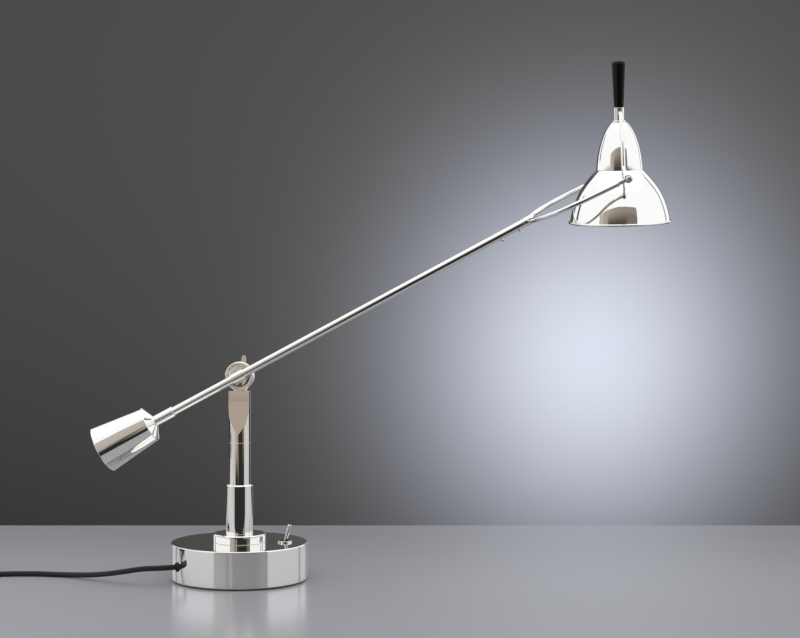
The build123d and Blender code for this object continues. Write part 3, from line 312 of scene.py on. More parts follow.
def opal_glass():
    """A bulb of blown glass coated white inside: smooth gloss over a milky body that light sinks into, a
    little greyer where the coating is thin."""
    mat, tree = material("Opal bulb glass")
    coating = add(tree, "TexNoise", Vector=place(tree), Scale=1 / (18.0 * MM), Detail=2.0)
    inputs = {
        "Base_Color": add(tree, "Mix", coating, linear(OPAL), linear(OPAL_THIN), data_type="RGBA"),
        "Roughness": 0.06,
        "Subsurface_Weight": 0.4,
        "Subsurface_Radius": (4.0 * MM, 4.0 * MM, 4.0 * MM),
    }
    add(tree, "OutputMaterial", Surface=add(tree, "BsdfPrincipled", **inputs))
    return mat


def braided_cotton():
    """Cotton yarn braided over a round flex. Crossing yarns make diamonds under 2 mm long: each yarn is
    rounded, so the black breaks into small soft glints, and a trace of fuzz softens them. The colour is
    painted darker down between the yarns, as painted shade."""
    mat, tree = material("Braided cotton flex")
    stitches = add(tree, "SeparateXYZ", add(tree, "UVMap", uv_map="braid")).node.outputs
    waves = []
    for crossing in ("ADD", "SUBTRACT"):
        turn = add(tree, "Math", stitches["X"], stitches["Y"], operation=crossing)
        half_turns = add(tree, "Math", turn, math.pi, operation="MULTIPLY")
        waves.append(add(tree, "Math", half_turns, operation="SINE"))
    left, right = [add(tree, "Math", wave, operation="ABSOLUTE") for wave in waves]
    alike = add(tree, "Math", *waves, operation="MULTIPLY")
    left_on_top = add(tree, "Math", alike, 0.0, operation="GREATER_THAN")
    yarn = add(tree, "Mix", left_on_top, right, left)
    # Loose fibres are 0.02 mm thick, and are drawn as tufts of 0.35 mm.
    fuzz = add(tree, "TexNoise", Vector=place(tree), Scale=1 / (0.35 * MM), Detail=4.0)
    height = add(tree, "Math", fuzz, 0.35, yarn, operation="MULTIPLY_ADD")
    # Painted shade: the lower a point lies between the yarns, the darker its colour.
    painted_shade_mask = add(tree, "Math", yarn, 0.6, operation="POWER")
    inputs = {
        "Base_Color": add(tree, "Mix", painted_shade_mask, colours().painted_shade_between_yarns, colours().yarn, data_type="RGBA"),
        "Roughness": 0.7,
        "Sheen_Weight": 0.03,
        "Sheen_Roughness": 0.4,
        "Normal": add(tree, "Bump", Distance=0.25 * MM, Height=height),
    }
    add(tree, "OutputMaterial", Surface=add(tree, "BsdfPrincipled", **inputs))
    return mat


def painted_shade_bore():
    """The inside of a deep small socket, coloured near black as painted shade so that it reads as a hole,
    with a little grease sheen."""
    mat, tree = material("Bore in painted shade")
    grease = add(tree, "TexNoise", Vector=place(tree), Scale=1 / (0.8 * MM), Detail=3.0)
    gloss = add(tree, "MapRange", grease, To_Min=0.35, To_Max=0.55)
    inputs = {"Base_Color": linear(BORE_PAINTED_SHADE), "Specular_IOR_Level": 0.15, "Roughness": gloss}
    add(tree, "OutputMaterial", Surface=add(tree, "BsdfPrincipled", **inputs))
    return mat


# The record's material slots and what makes each.
MAKERS = {
    "polished_nickel": polished_nickel,
    "plated_steel": plated_steel,
    "brass": turned_brass,
    "felt": pressed_felt,
    "ballast_iron": cast_iron,
    "black_plastic": black_plastic,
    "black_lacquer": black_lacquer,
    "black_rubber": black_rubber,
    "black_textile": braided_cotton,
    "fibre": red_fibre,
    "opal_glass": opal_glass,
}
made = {}


def finish(slot):
    """The slot's material, made once."""
    if slot not in made:
        made[slot] = MAKERS[slot]()
    return made[slot]


def dress(*bodies):
    """Gives the CAD nodes of these bodies their slots' materials."""
    slots = {row["node"]: row["material_slot"] for row in frame["record"]["subparts"]}
    groups = frame["record"]["behaviour"]["bodies"]
    for body in bodies:
        for node in groups[body]:
            mesh = frame["nodes"][node].data
            mesh.materials.clear()
            mesh.materials.append(finish(slots[node]))


# ---------------------------------------------------------------------------
# Camera
# ---------------------------------------------------------------------------

# The photograph's size and the point of it that the camera's axis meets, in pixels.
PHOTO_W = 800
PHOTO_H = 638
AXIS_PX = (330.0, 308.0)
# The camera's place, in metres, and how far it is turned to the left.
EYE = Vector((0.27461, -1.66039, 0.29788))
YAW = math.radians(6.0)
# Its lens and its sensor's width, in millimetres, and how far it sees, in metres.
LENS = 68.7
SENSOR = 36.0
SIGHT = 50.0


class LAMP_OT_camera(bpy.types.Operator):
    """Sets the camera where the photograph was taken from"""

    bl_idname = "lamp.camera"
    bl_label = "Camera"

    def execute(self, context):
        data = bpy.data.cameras.new("camera")
        data.lens = LENS
        data.sensor_width = SENSOR
        data.sensor_fit = "HORIZONTAL"
        data.shift_x = (PHOTO_W / 2 - AXIS_PX[0]) / PHOTO_W
        data.shift_y = -(PHOTO_H / 2 - AXIS_PX[1]) / PHOTO_W
        data.clip_end = SIGHT
        camera = bpy.data.objects.new("camera", data)
        camera.location = EYE
        camera.rotation_euler = (math.pi / 2, 0.0, YAW)
        context.collection.objects.link(camera)
        context.scene.camera = camera
        return {"FINISHED"}


# ---------------------------------------------------------------------------
# Cord
# ---------------------------------------------------------------------------

# The cord's way out of the base, in millimetres: its direction and height, where its line starts inside the
# base, the base's radius, and where its straight start ends.
CORD_ANGLE = math.radians(216.5)
CORD_OUT = Vector((math.cos(CORD_ANGLE), math.sin(CORD_ANGLE), 0.0))
CORD_Z = 19.3
CORD_START = 58.0
STRAIGHT_END = 92.0
# How far apart the coil's turns lie going in, and one above the other, in millimetres, and the heights of
# the cord's centre line: on the table, lying on another turn, and in the plug.
COIL_STEP = 6.4
ON_TABLE = 2.9
SECOND = ON_TABLE + COIL_STEP
PLUG_Z = 7.0
# The coil, in millimetres: its middle, its inner radius, and how far apart its turns lie coming out again
# (COIL_STEP is that going in). Then how many turns there are each way, the part of a turn in which the cord
# climbs onto itself, and what follows from these.
COIL_X = -328.0
COIL_Y = 12.0
COIL_IN_R = 25.0
COIL_SPREAD = 7.2
COIL_TURNS = 3
RISE = 0.25
COIL_OUT_R = COIL_IN_R + COIL_STEP * COIL_TURNS
TAIL_X = COIL_X - COIL_IN_R + COIL_STEP * RISE - COIL_SPREAD * COIL_TURNS
POINTS_PER_TURN = 16
# The tube round the line: how far apart its rings are, in metres, the spline's own steps from one of its
# points to the next, the sides of a ring, and the yarns that cross it each way.
RING_SPACING = 1.0 * MM
SPLINE_STEPS = 24
RING_SIDES = 24
YARNS_ROUND = 12

CORD_ROUTE = [
    (CORD_OUT.x * CORD_START, CORD_OUT.y * CORD_START, CORD_Z),
    (CORD_OUT.x * STRAIGHT_END, CORD_OUT.y * STRAIGHT_END, CORD_Z),
    (-95.0, -57.0, 19.2),
    (-122.0, -47.5, 13.0),
    (-153.0, -29.0, 6.4),
    (-187.0, -13.0, ON_TABLE),
    (-227.0, -8.0, ON_TABLE),
    (-266.0, -14.0, ON_TABLE),
    (-302.0, COIL_Y - COIL_OUT_R, ON_TABLE),
]
TAIL_ROUTE = [
    (TAIL_X, COIL_Y + 21, SECOND),
    (-372.0, 53.0, 4.4),
    (-371.0, 69.0, ON_TABLE + 0.2),
    (-370.0, 86.0, PLUG_Z),
    (-368.0, 116.0, PLUG_Z),
]


def coil_point(turn):
    """The coil's centre line after this many turns: in on the table, up, and out on top."""
    inwards = min(turn, COIL_TURNS + RISE)
    radius = COIL_OUT_R - COIL_STEP * inwards + COIL_SPREAD * (turn - inwards)
    part_way = min(max((turn - COIL_TURNS) / RISE, 0), 1)
    height = ON_TABLE + COIL_STEP * part_way * part_way * (3 - 2 * part_way)
    angle = -math.pi / 2 - 2 * math.pi * turn
    return (COIL_X + radius * math.cos(angle), COIL_Y + radius * math.sin(angle), height)


def spline_points(route):
    """Points along the smooth line, a quadratic B-spline, that the route's points in millimetres steer."""
    route = [Vector([c * MM for c in spot]) for spot in route]
    points = [route[0]]
    for before, corner, after in zip(route, route[1:], route[2:]):
        start = route[0] if before is route[0] else (before + corner) / 2
        end = route[-1] if after is route[-1] else (corner + after) / 2
        for k in range(1, SPLINE_STEPS + 1):
            t = k / SPLINE_STEPS
            points.append(start * (1 - t) ** 2 + corner * 2 * t * (1 - t) + end * t * t)
    return points


def evenly(points, spacing):
    """Points at even spacing along the line through these, so that the braid's stitches are all as long."""
    path = [points[0]]
    left = spacing
    for a, b in zip(points, points[1:]):
        run = (b - a).length
        gone = 0.0
        while run - gone >= left:
            gone += left
            path.append(a.lerp(b, gone / run))
            left = spacing
        left -= run - gone
    path.append(points[-1])
    return path


def tube(name, path, radius, sides, pitch):
    """A round tube along the path, with its stitches counted in the UV map that the braid reads."""
    bm = bmesh.new()
    layer = bm.loops.layers.uv.new("braid")
    side = Vector((0, 0, 1))
    rings = []
    for i, spot in enumerate(path):
        way = (path[min(i + 1, len(path) - 1)] - path[max(i - 1, 0)]).normalized()
        side = (side - way * side.dot(way)).normalized()
        other = way.cross(side)
        ring = []
        for k in range(sides):
            angle = 2 * math.pi * k / sides
            ring.append(bm.verts.new(spot + (side * math.cos(angle) + other * math.sin(angle)) * radius))
        rings.append(ring)
    step = (path[1] - path[0]).length / pitch
    for i in range(len(rings) - 1):
        for k in range(sides):
            n = (k + 1) % sides
            face = bm.faces.new((rings[i][k], rings[i][n], rings[i + 1][n], rings[i + 1][k]))
            face.smooth = True
            corners = ((k, i), (k + 1, i), (k + 1, i + 1), (k, i + 1))
            for loop, (across, along) in zip(face.loops, corners):
                loop[layer].uv = (across / sides * YARNS_ROUND, along * step)
    bm.faces.new(list(reversed(rings[0])))
    bm.faces.new(rings[-1])
    mesh = bpy.data.meshes.new(name)
    bm.to_mesh(mesh)
    bm.free()
    return mesh


class LAMP_OT_cord(bpy.types.Operator):
    """Lays the braided mains cord from the base to its coil and plug"""

    bl_idname = "lamp.cord"
    bl_label = "Mains cord"

    def execute(self, context):
        turns = 2 * COIL_TURNS + RISE
        count = int(turns * POINTS_PER_TURN)
        coil = [coil_point(turns * i / count) for i in range(count + 1)]
        path = evenly(spline_points(CORD_ROUTE + coil + TAIL_ROUTE), RING_SPACING)
        mesh = tube("mains_cord", path, sizes().cord_diameter / 2, RING_SIDES, sizes().braid_pitch)
        mesh.materials.append(finish("black_textile"))
        cord = bpy.data.objects.new("mains_cord", mesh)
        context.collection.objects.link(cord)
        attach(cord, "base")
        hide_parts("cord", "cord_coil", "cord_tail")
        return {"FINISHED"}


# ---------------------------------------------------------------------------
# Base and post
# ---------------------------------------------------------------------------


class LAMP_OT_base(bpy.types.Operator):
    """Finishes the base with its switch, felt, ballast and plug"""

    bl_idname = "lamp.base"
    bl_label = "Base"

    def execute(self, context):
        dress("base", "switch_lever")
        return {"FINISHED"}


class LAMP_OT_post(bpy.types.Operator):
    """Finishes the post and its head"""

    bl_idname = "lamp.post"
    bl_label = "Post"

    def execute(self, context):
        dress("post")
        return {"FINISHED"}


# ---------------------------------------------------------------------------
# Arm and shade
# ---------------------------------------------------------------------------

# The nuts on the shade's pivots, in millimetres: the ball that rounds them, the flat end that they stand
# on, and the socket in their outer end, with the lip round it and its depth.
NUT_BALL_R = 3.4
NUT_FLAT_R = 2.8
NUT_STEPS = 16
SOCKET_R = 2.0
SOCKET_LIP = 0.35
SOCKET_DEEP = 3.6
# The second screw under the arm, in millimetres: how far down the arm it is from the first, its head's
# radius and height, the rounding of its rim, how far it goes into the tube, and the tube's own radius.
SET_SCREW_DOWN = 21.5
SET_SCREW_R = 2.0
SET_SCREW_OUT = 2.5
SET_SCREW_ROUND = 1.0
SET_SCREW_IN = 1.2
ARM_TUBE_R = 4.5
# Where the rounding's rings are, in radians up from the head's side.
SET_SCREW_RINGS = (0.0, 0.4, 0.8, 1.2)
# The hub disc's face, in millimetres: how high it domes, its radius and how far it goes into the disc.
FACE_DOME = 0.45
FACE_R = 12.2
FACE_SUNK = 0.2
FACE_RINGS = 24
LATHE_SIDES = 64


def joint(name):
    """The record's joint of this name."""
    joints = frame["record"]["behaviour"]["joints"]
    return next(row for row in joints if row["name"] == name)


def middle_of(node):
    """The middle of a CAD node's box, in the world."""
    solid = frame["nodes"][node]
    corners = [solid.matrix_world @ Vector(corner) for corner in solid.bound_box]
    return sum(corners, Vector()) / len(corners)


def lathe(name, centre, axis, profile, bore_from):
    """A turned piece: the profile's (radius, height) points in millimetres, spun round the axis. From point
    bore_from on, the faces have the second material."""
    side = axis.orthogonal().normalized()
    other = axis.cross(side)
    turns = [2 * math.pi * k / LATHE_SIDES for k in range(LATHE_SIDES)]
    bm = bmesh.new()
    rings = []
    for radius, height in profile:
        at = centre + axis * height * MM
        if radius == 0:
            rings.append([bm.verts.new(at)])
            continue
        spots = [at + (side * math.cos(a) + other * math.sin(a)) * radius * MM for a in turns]
        rings.append([bm.verts.new(spot) for spot in spots])
    for i, (lower, upper) in enumerate(zip(rings, rings[1:])):
        for k in range(LATHE_SIDES):
            n = (k + 1) % LATHE_SIDES
            corners = [lower[k % len(lower)], lower[n % len(lower)]]
            corners += [upper[n % len(upper)], upper[k % len(upper)]]
            face = bm.faces.new(list(dict.fromkeys(corners)))
            face.smooth = len(lower) == len(upper) and i < bore_from - 1
            face.material_index = 1 if i >= bore_from else 0
    bmesh.ops.recalc_face_normals(bm, faces=bm.faces)
    mesh = bpy.data.meshes.new(name)
    bm.to_mesh(mesh)
    bm.free()
    obj = bpy.data.objects.new(name, mesh)
    bpy.context.collection.objects.link(obj)
    return obj


def set_screw():
    """The small round-headed screw further down the arm's underside."""
    roll = joint("fork_roll")
    along = Vector(roll["axis"]).normalized()
    spot = middle_of("fork_screw")
    arm_at = Vector(roll["pos_m"])
    foot = arm_at + along * (spot - arm_at).dot(along)
    down = (spot - foot).normalized()
    rim = SET_SCREW_OUT - SET_SCREW_ROUND
    head = [(SET_SCREW_R * math.cos(a), rim + SET_SCREW_ROUND * math.sin(a)) for a in SET_SCREW_RINGS]
    profile = [(0, -SET_SCREW_IN), (SET_SCREW_R, -SET_SCREW_IN), *head, (0, SET_SCREW_OUT)]
    surface = foot - along * SET_SCREW_DOWN * MM + down * ARM_TUBE_R * MM
    screw = lathe("arm_set_screw", surface, down, profile, len(profile))
    screw.data.materials.append(finish("plated_steel"))
    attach(screw, "arm")


def hub_face():
    """The face spun into the hub disc: a very shallow dome inside the rolled rim."""
    disc = frame["nodes"]["hub_disc"]
    middle = middle_of("hub_disc")
    spots = [disc.matrix_world @ v.co for v in disc.data.vertices]
    floor = min(s.y for s in spots if math.hypot(s.x - middle.x, s.z - middle.z) < FACE_R * MM)
    edge = Vector((middle.x, floor, middle.z))
    steps = [i / FACE_RINGS for i in range(FACE_RINGS)]
    dome = [(FACE_R * (1 - k), FACE_DOME * (1 - (1 - k) ** 2)) for k in steps]
    profile = [(0, -FACE_SUNK), (FACE_R, -FACE_SUNK), *dome, (0, FACE_DOME)]
    face = lathe("hub_face", edge, Vector((0, -1, 0)), profile, len(profile))
    for flat in face.data.polygons:
        flat.use_smooth = True
    face.data.materials.append(finish("polished_nickel"))
    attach(face, "arm")


def socket_nut(name, outwards, bore_shade_finish):
    """The round cap nut on one of the shade's pivots, with the plain socket that its end shows as a dark
    hole."""
    solid = frame["nodes"][name]
    spots = [solid.matrix_world @ v.co for v in solid.data.vertices]
    high = max(spots, key=lambda spot: spot.dot(outwards))
    pivot = Vector(joint("shade_tilt")["pos_m"])
    ball = pivot + outwards * ((high - pivot).dot(outwards) - NUT_BALL_R * MM)
    first = -math.acos(NUT_FLAT_R / NUT_BALL_R)
    last = math.acos((SOCKET_R + SOCKET_LIP) / NUT_BALL_R)
    swing = [first + (last - first) * i / NUT_STEPS for i in range(NUT_STEPS + 1)]
    arc = [(NUT_BALL_R * math.cos(a), NUT_BALL_R * math.sin(a)) for a in swing]
    mouth = arc[-1][1]
    bore = [(SOCKET_R, mouth), (SOCKET_R, mouth - SOCKET_DEEP), (0, mouth - SOCKET_DEEP)]
    profile = [(0, arc[0][1]), *arc, *bore]
    nut = lathe(name + "_socket", ball, outwards, profile, len(arc) + 1)
    nut.data.materials.append(finish("plated_steel"))
    # The socket's inside gets the near-black painted shade.
    nut.data.materials.append(bore_shade_finish)
    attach(nut, "shade")
    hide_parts(name)


class LAMP_OT_arm(bpy.types.Operator):
    """Finishes the arm with its pivot, wing nut, counterweight, screws and fork"""

    bl_idname = "lamp.arm"
    bl_label = "Arm"

    def execute(self, context):
        dress("arm", "wing_nut", "fork")
        set_screw()
        hub_face()
        return {"FINISHED"}


class LAMP_OT_shade(bpy.types.Operator):
    """Finishes the shade with its yoke, handle, lampholder and bulb"""

    bl_idname = "lamp.shade"
    bl_label = "Shade"

    def execute(self, context):
        dress("shade")
        far = Vector(joint("shade_tilt")["axis"]).normalized()
        bore = painted_shade_bore()
        socket_nut("pivot_nut_near", -far, bore)
        socket_nut("pivot_nut_far", far, bore)
        return {"FINISHED"}


# ---------------------------------------------------------------------------
# Stage
# ---------------------------------------------------------------------------

# The camera's way of looking, level, and its right.
AWAY = Vector((-math.sin(YAW), math.cos(YAW), 0.0))
RIGHT = Vector((math.cos(YAW), math.sin(YAW), 0.0))

# The table, in metres from the lamp: its back and front edges and half its width.
TABLE_BACK = 0.411
TABLE_FRONT = 0.33
TABLE_HALF = 2.2
# Painted shade on the table: its colour is darkened toward the back and the right, where the light falls
# off. Where each fade starts and ends, in metres away from the camera or to its right, and the part of the
# light that it takes.
PAINTED_SHADE_DEPTH = (-0.10, 0.42)
PAINTED_SHADE_BACK = 0.30
PAINTED_SHADE_ACROSS = (-0.32, 0.20)
PAINTED_SHADE_SIDE = 0.14

# The backdrop, in metres: how far behind the lamp, its left and right edges, its foot and top, and the
# heights between which it shows in the picture.
BACKDROP_FAR = 3.3
BACKDROP_SIDES = (-1.25, 1.85)
BACKDROP_HEIGHTS = (-0.6, 1.40)
BACKDROP_SEEN = (-0.39, 1.24)
# The paper's two colours, in sRGB hex: away from the painted pool of light and in it.
PAPER = "F2F3EE"
PAPER_IN_PAINTED_GLOW = "EBF0FF"
# The painted pool of light on the backdrop: its middle in the picture and its half width, in pixels, and
# its height as a share of its width.
GLOW_PX = (590, 356)
GLOW_SPREAD = 160
GLOW_TALL = 1.1
# Brightness of the painted light: of the pool's core and of the skirt round it, and of the rest at the top
# and at the foot of what shows; and how fast the paper takes the pool's colour as it brightens.
GLOW_CORE = 0.661
GLOW_SKIRT = 0.1526
REST_TOP = 0.0701
REST_LOW = 0.0339
GLOW_TINT = 5.31
# Pixels of the picture that a thing as wide as it is far takes up.
PX_PER_UNIT = LENS / SENSOR * PHOTO_W

# The tent's open front, through which the photograph is taken, in metres: how far behind the lamp, which is
# below 0 because it is in front, its left and right edges, and its foot and top from the table up.
FRONT_AWAY = -0.63
FRONT_SIDES = (-0.49, 0.73)
FRONT_HEIGHTS = (-0.80, 0.66)
# The room that shows through it, glowing by itself with its light and shade painted on. Each pair is where
# a soft edge starts and ends, in metres across or up: the wall's painted daylight fading to the right, the
# wall's foot at the left and at the right of the curtain, and the change from the one foot to the other.
PAINTED_DAYLIGHT = (-0.49, 0.45)
FOOT_LEFT = (0.13, 0.21)
FOOT_RIGHT = (0.37, 0.63)
FOOT_CHANGE = (-0.08, 0.02)
# The strips of painted light beside the opening: their inner edges, their foot and how bright they are.
SIDE_LEFT = (-0.24, -0.15)
SIDE_LEFT_LIT = 0.9
SIDE_RIGHT = (0.36, 0.52)
SIDE_RIGHT_LIT = 0.6
SIDE_FOOT = (0.03, 0.09)
# The curtain and the pole that it hangs on: left and right edges, how soft those are, and the foot.
CURTAIN = (-0.21, -0.08)
CURTAIN_SOFT = 0.012
CURTAIN_FOOT = (0.13, 0.17)
POLE = (-0.145, -0.090)
POLE_SOFT = 0.008
POLE_FOOT = (0.02, 0.07)
# The room's colours, in sRGB hex: the wall in painted daylight and in painted shade, the floor, and the
# curtain's cloth.
WALL_IN_PAINTED_DAYLIGHT = "C7C0B9"
WALL_IN_PAINTED_SHADE = "9F9188"
DARK_FLOOR = "302F2D"
CLOTH = "B6A79A"

# What stands round the lamp, painted one over the other as seen from it: degrees round from the camera, to
# the right; degrees up; edge softness in degrees; brightness. Behind the lamp is 180 either way, so a panel
# that goes on to 200 has no edge there. What is left unpainted is as bright as ROOM.
SURROUNDINGS = [
    ("white tent", -200, 200, 0, 95, 3, 1.195),
    ("lit ceiling", -200, 200, 52, 95, 8, 1.442),
    ("foot of the left wall", -98, -40, -40, 0, 3, 0.639),
    ("foot of the right wall", 52, 118, -40, 0, 3, 0.680),
    ("ceiling at the back left", -200, -150, 44, 66, 6, 0.721),
    ("dark beside the backdrop, left", -200, -149, -60, 27, 3, 0.103),
    ("dark beside the backdrop, right", 151, 200, -60, 22, 3, 0.258),
    ("black flag", -162, -151, 24, 46, 1.5, 0.041),
    ("lamp stand, left", -133, -125, 8, 26, 1.5, 0.082),
    ("lamp stand, right", 121, 127, 6, 38, 1.5, 0.258),
]
ROOM = 0.0515
# The light's colours, in sRGB hex: low down, higher up, and behind everything where the camera sees it. The
# degrees up are where the first changes to the second.
LOW_LIGHT = "FFF9F6"
HIGH_LIGHT = "F9FAFF"
BEHIND_ALL = "95979B"
LIGHT_CHANGE = (-4, 6)


def slab(name, corners, mat):
    """One flat four-cornered sheet."""
    mesh = bpy.data.meshes.new(name)
    mesh.from_pydata([tuple(corner) for corner in corners], [], [(0, 1, 2, 3)])
    mesh.materials.append(mat)
    obj = bpy.data.objects.new(name, mesh)
    bpy.context.collection.objects.link(obj)
    return obj


def screen(name, away, sides, heights, mat):
    """An upright sheet square to the camera, this far behind the lamp."""
    left, right = sides
    low, top = heights
    obj = slab(name, [(left, 0, low), (right, 0, low), (right, 0, top), (left, 0, top)], mat)
    obj.matrix_world = Matrix.Translation(AWAY * away) @ Matrix.Rotation(YAW, 4, "Z")
    return obj


def light_room(scene):
    """A white tent of paper and cloth, lit from outside, with the dark studio showing below and behind."""
    world = bpy.data.worlds.new("studio")
    scene.world = world
    world.use_nodes = True
    tree = world.node_tree
    tree.nodes.clear()
    turned = add(tree, "Mapping", add(tree, "TexCoord"), Rotation=(0, 0, YAW), vector_type="TEXTURE")
    parts = add(tree, "SeparateXYZ", turned).node.outputs
    towards = add(tree, "Math", parts["Y"], -1.0, operation="MULTIPLY")
    angle = add(tree, "Math", parts["X"], towards, operation="ARCTAN2")
    round_deg = add(tree, "Math", angle, operation="DEGREES")
    up_deg = add(tree, "Math", add(tree, "Math", parts["Z"], operation="ARCSINE"), operation="DEGREES")
    light = ROOM
    for _, low, high, bottom, top, soft, brightness in SURROUNDINGS:
        upright = window(tree, up_deg, bottom, top, soft)
        level = window(tree, round_deg, low, high, soft)
        light = add(tree, "Mix", add(tree, "Math", upright, level, operation="MULTIPLY"), light, brightness)
    higher = add(tree, "MapRange", up_deg, *LIGHT_CHANGE, **SMOOTH)
    tint = add(tree, "Mix", higher, linear(LOW_LIGHT), linear(HIGH_LIGHT), data_type="RGBA")
    studio = add(tree, "Background", Color=tint, Strength=light)
    plain = add(tree, "Background", Color=linear(BEHIND_ALL), Strength=1.0)
    seen = add(tree, "LightPath").node.outputs["Is Camera Ray"]
    add(tree, "OutputWorld", Surface=add(tree, "MixShader", seen, studio, plain))


def open_front():
    """The brown room that shows through the tent's open front, painted on a sheet that glows by itself:
    painted daylight on the wall at the left, a dim floor, and a curtain on a pale pole. It is seen only as
    a reflection in the plate."""
    mat, tree = material("Room beyond the tent")
    parts = add(tree, "SeparateXYZ", add(tree, "TexCoord").node.outputs["Object"]).node.outputs
    across = parts["X"]
    up = parts["Z"]
    # Painted light and shade: the wall's daylight dims to the right, and strips of painted light lie beside
    # the opening.
    dimmer = add(tree, "MapRange", across, *PAINTED_DAYLIGHT, **SMOOTH)
    wall = add(tree, "Mix", dimmer, linear(WALL_IN_PAINTED_DAYLIGHT), linear(WALL_IN_PAINTED_SHADE), data_type="RGBA")
    foot_left = add(tree, "MapRange", up, *FOOT_LEFT, **SMOOTH)
    foot_right = add(tree, "MapRange", up, *FOOT_RIGHT, **SMOOTH)
    change = add(tree, "MapRange", across, *FOOT_CHANGE, **SMOOTH)
    above = add(tree, "Mix", change, foot_left, foot_right)
    left = add(tree, "MapRange", across, *SIDE_LEFT, SIDE_LEFT_LIT, 0.0, **SMOOTH)
    right = add(tree, "MapRange", across, *SIDE_RIGHT, 0.0, SIDE_RIGHT_LIT, **SMOOTH)
    side_foot = add(tree, "MapRange", up, *SIDE_FOOT, **SMOOTH)
    sides = add(tree, "Math", left, right, operation="ADD")
    strips = add(tree, "Math", sides, side_foot, operation="MULTIPLY")
    lit = add(tree, "Math", above, strips, operation="MAXIMUM")
    room = add(tree, "Mix", lit, linear(DARK_FLOOR), wall, data_type="RGBA")
    cloth_foot = add(tree, "MapRange", up, *CURTAIN_FOOT, **SMOOTH)
    cloth_wide = window(tree, across, *CURTAIN, CURTAIN_SOFT)
    cloth = add(tree, "Math", cloth_wide, cloth_foot, operation="MULTIPLY")
    pole_foot = add(tree, "MapRange", up, *POLE_FOOT, **SMOOTH)
    pole_wide = window(tree, across, *POLE, POLE_SOFT)
    pole = add(tree, "Math", pole_wide, pole_foot, operation="MULTIPLY")
    hanging = add(tree, "Math", cloth, pole, operation="MAXIMUM")
    tint = add(tree, "Mix", hanging, room, linear(CLOTH), data_type="RGBA")
    add(tree, "OutputMaterial", Surface=add(tree, "Emission", Color=tint, Strength=1.0))
    return mat


def backdrop_paper():
    """Grey background paper that glows by itself, with a painted pool of cool light on it, as if thrown
    from behind the table; the painted light falls off smoothly to a dull grey, and the paper's tooth
    mottles it very slightly."""
    mat, tree = material("Backdrop paper")
    where = add(tree, "TexCoord").node.outputs["Object"]
    pixel = (BACKDROP_FAR - EYE.dot(AWAY)) / PX_PER_UNIT
    middle_x = EYE.dot(RIGHT) + (GLOW_PX[0] - AXIS_PX[0]) * pixel
    middle_z = EYE.z - (GLOW_PX[1] - AXIS_PX[1]) * pixel
    spread = GLOW_SPREAD * pixel
    pool = {"Location": (middle_x, 0.0, middle_z), "Scale": (spread, 1.0, GLOW_TALL * spread)}
    off = add(tree, "Mapping", where, **pool, vector_type="TEXTURE")
    off_squared = add(tree, "VectorMath", off, off, operation="DOT_PRODUCT")
    bell = add(tree, "Math", 1 / math.e, off_squared, operation="POWER")
    widening = add(tree, "Math", off_squared, 1.0, operation="ADD")
    skirt = add(tree, "Math", GLOW_SKIRT, widening, operation="DIVIDE")
    glow = add(tree, "Math", bell, GLOW_CORE, skirt, operation="MULTIPLY_ADD")
    glowing = add(tree, "Math", glow, GLOW_TINT, operation="MULTIPLY")
    tint = add(tree, "Mix", glowing, linear(PAPER), linear(PAPER_IN_PAINTED_GLOW), data_type="RGBA")
    height = add(tree, "SeparateXYZ", where).node.outputs["Z"]
    down = add(tree, "MapRange", height, *reversed(BACKDROP_SEEN))
    down_squared = add(tree, "Math", down, down, operation="MULTIPLY")
    rest = add(tree, "MapRange", down_squared, To_Min=REST_TOP, To_Max=REST_LOW)
    mottle = add(tree, "TexNoise", Vector=where, Scale=1 / (4.0 * MM), Detail=3.0)
    tooth = add(tree, "MapRange", mottle, To_Min=0.985, To_Max=1.015)
    # Painted light: the pool, and the grey round it that dims toward the foot, set how brightly the paper
    # glows.
    bright = add(tree, "Math", glow, rest, operation="ADD")
    strength = add(tree, "Math", bright, tooth, operation="MULTIPLY")
    add(tree, "OutputMaterial", Surface=add(tree, "Emission", Color=tint, Strength=strength))
    return mat


def table_top():
    """Grey laminate with a satin polish: it mirrors the lamp's foot softly, more so at a low angle, a fine
    pebble keeps the image from being sharp, and its colour is darkened to the back and right as painted
    shade, where the light falls off."""
    mat, tree = material("Grey table laminate")
    where = place(tree)
    pebble = add(tree, "TexNoise", Vector=where, Scale=1 / (1.1 * MM), Detail=2.0)
    clouds = add(tree, "TexNoise", Vector=where, Scale=1 / (160.0 * MM), Detail=2.0)
    cloudy = add(tree, "MapRange", clouds, To_Min=0.985, To_Max=1.015)
    depth = add(tree, "VectorMath", where, AWAY, operation="DOT_PRODUCT")
    across = add(tree, "VectorMath", where, RIGHT, operation="DOT_PRODUCT")
    # Painted shade: the colour darkens toward the back and the right, as the light falls off there; the
    # clouds add a faint random tone.
    back = add(tree, "MapRange", depth, *PAINTED_SHADE_DEPTH, 1.0, 1.0 - PAINTED_SHADE_BACK, **SMOOTH)
    side = add(tree, "MapRange", across, *PAINTED_SHADE_ACROSS, 1.0, 1.0 - PAINTED_SHADE_SIDE, **SMOOTH)
    painted_shade = add(tree, "Math", back, side, operation="MULTIPLY")
    light = add(tree, "Math", painted_shade, cloudy, operation="MULTIPLY")
    inputs = {
        "Base_Color": add(tree, "VectorMath", colours().table[:3], light, operation="SCALE"),
        "Specular_IOR_Level": 0.24,
        "Roughness": add(tree, "MapRange", pebble, To_Min=0.20, To_Max=0.23),
    }
    add(tree, "OutputMaterial", Surface=add(tree, "BsdfPrincipled", **inputs))
    return mat


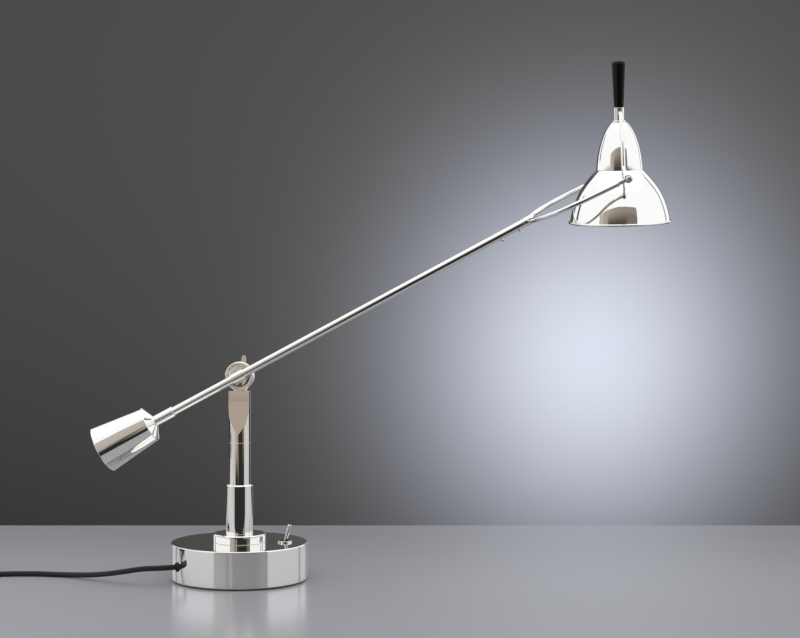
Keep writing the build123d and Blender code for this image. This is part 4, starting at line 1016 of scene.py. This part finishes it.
class LAMP_OT_stage(bpy.types.Operator):
    """Sets the table, the backdrop and the studio light"""

    bl_idname = "lamp.stage"
    bl_label = "Stage"

    def execute(self, context):
        back = AWAY * TABLE_BACK
        front = -AWAY * TABLE_FRONT
        side = RIGHT * TABLE_HALF
        slab("table", [front - side, front + side, back + side, back - side], table_top())
        screen("backdrop", BACKDROP_FAR, BACKDROP_SIDES, BACKDROP_HEIGHTS, backdrop_paper())
        room = screen("room_beyond", FRONT_AWAY, FRONT_SIDES, FRONT_HEIGHTS, open_front())
        room.visible_camera = False
        room.visible_diffuse = False
        room.visible_shadow = False
        light_room(context.scene)
        context.scene.view_settings.view_transform = "Standard"
        return {"FINISHED"}


# ---------------------------------------------------------------------------
# Panel and registration
# ---------------------------------------------------------------------------

STEPS = (
    LAMP_OT_camera,
    LAMP_OT_cord,
    LAMP_OT_base,
    LAMP_OT_post,
    LAMP_OT_arm,
    LAMP_OT_shade,
    LAMP_OT_stage,
)


class LAMP_PT_panel(bpy.types.Panel):
    """The lamp's settings and its building steps"""

    bl_idname = "LAMP_PT_panel"
    bl_label = "Balance desk lamp"
    bl_space_type = "VIEW_3D"
    bl_region_type = "UI"
    bl_category = "Lamp"

    def draw(self, context):
        for group in (context.scene.lamp_sizes, context.scene.lamp_colours):
            for name in type(group).__annotations__:
                self.layout.prop(group, name)
        for step in STEPS:
            self.layout.operator(step.bl_idname)


CLASSES = (LampSizes, LampColours, *STEPS, LAMP_PT_panel)


def register():
    for cls in CLASSES:
        bpy.utils.register_class(cls)
    bpy.types.Scene.lamp_sizes = bpy.props.PointerProperty(type=LampSizes)
    bpy.types.Scene.lamp_colours = bpy.props.PointerProperty(type=LampColours)


def unregister():
    del bpy.types.Scene.lamp_colours
    del bpy.types.Scene.lamp_sizes
    for cls in reversed(CLASSES):
        bpy.utils.unregister_class(cls)


def main():
    register()
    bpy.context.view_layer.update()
    for step in STEPS:
        group, name = step.bl_idname.split(".")
        getattr(getattr(bpy.ops, group), name)()


if __name__ == "__main__":
    main()
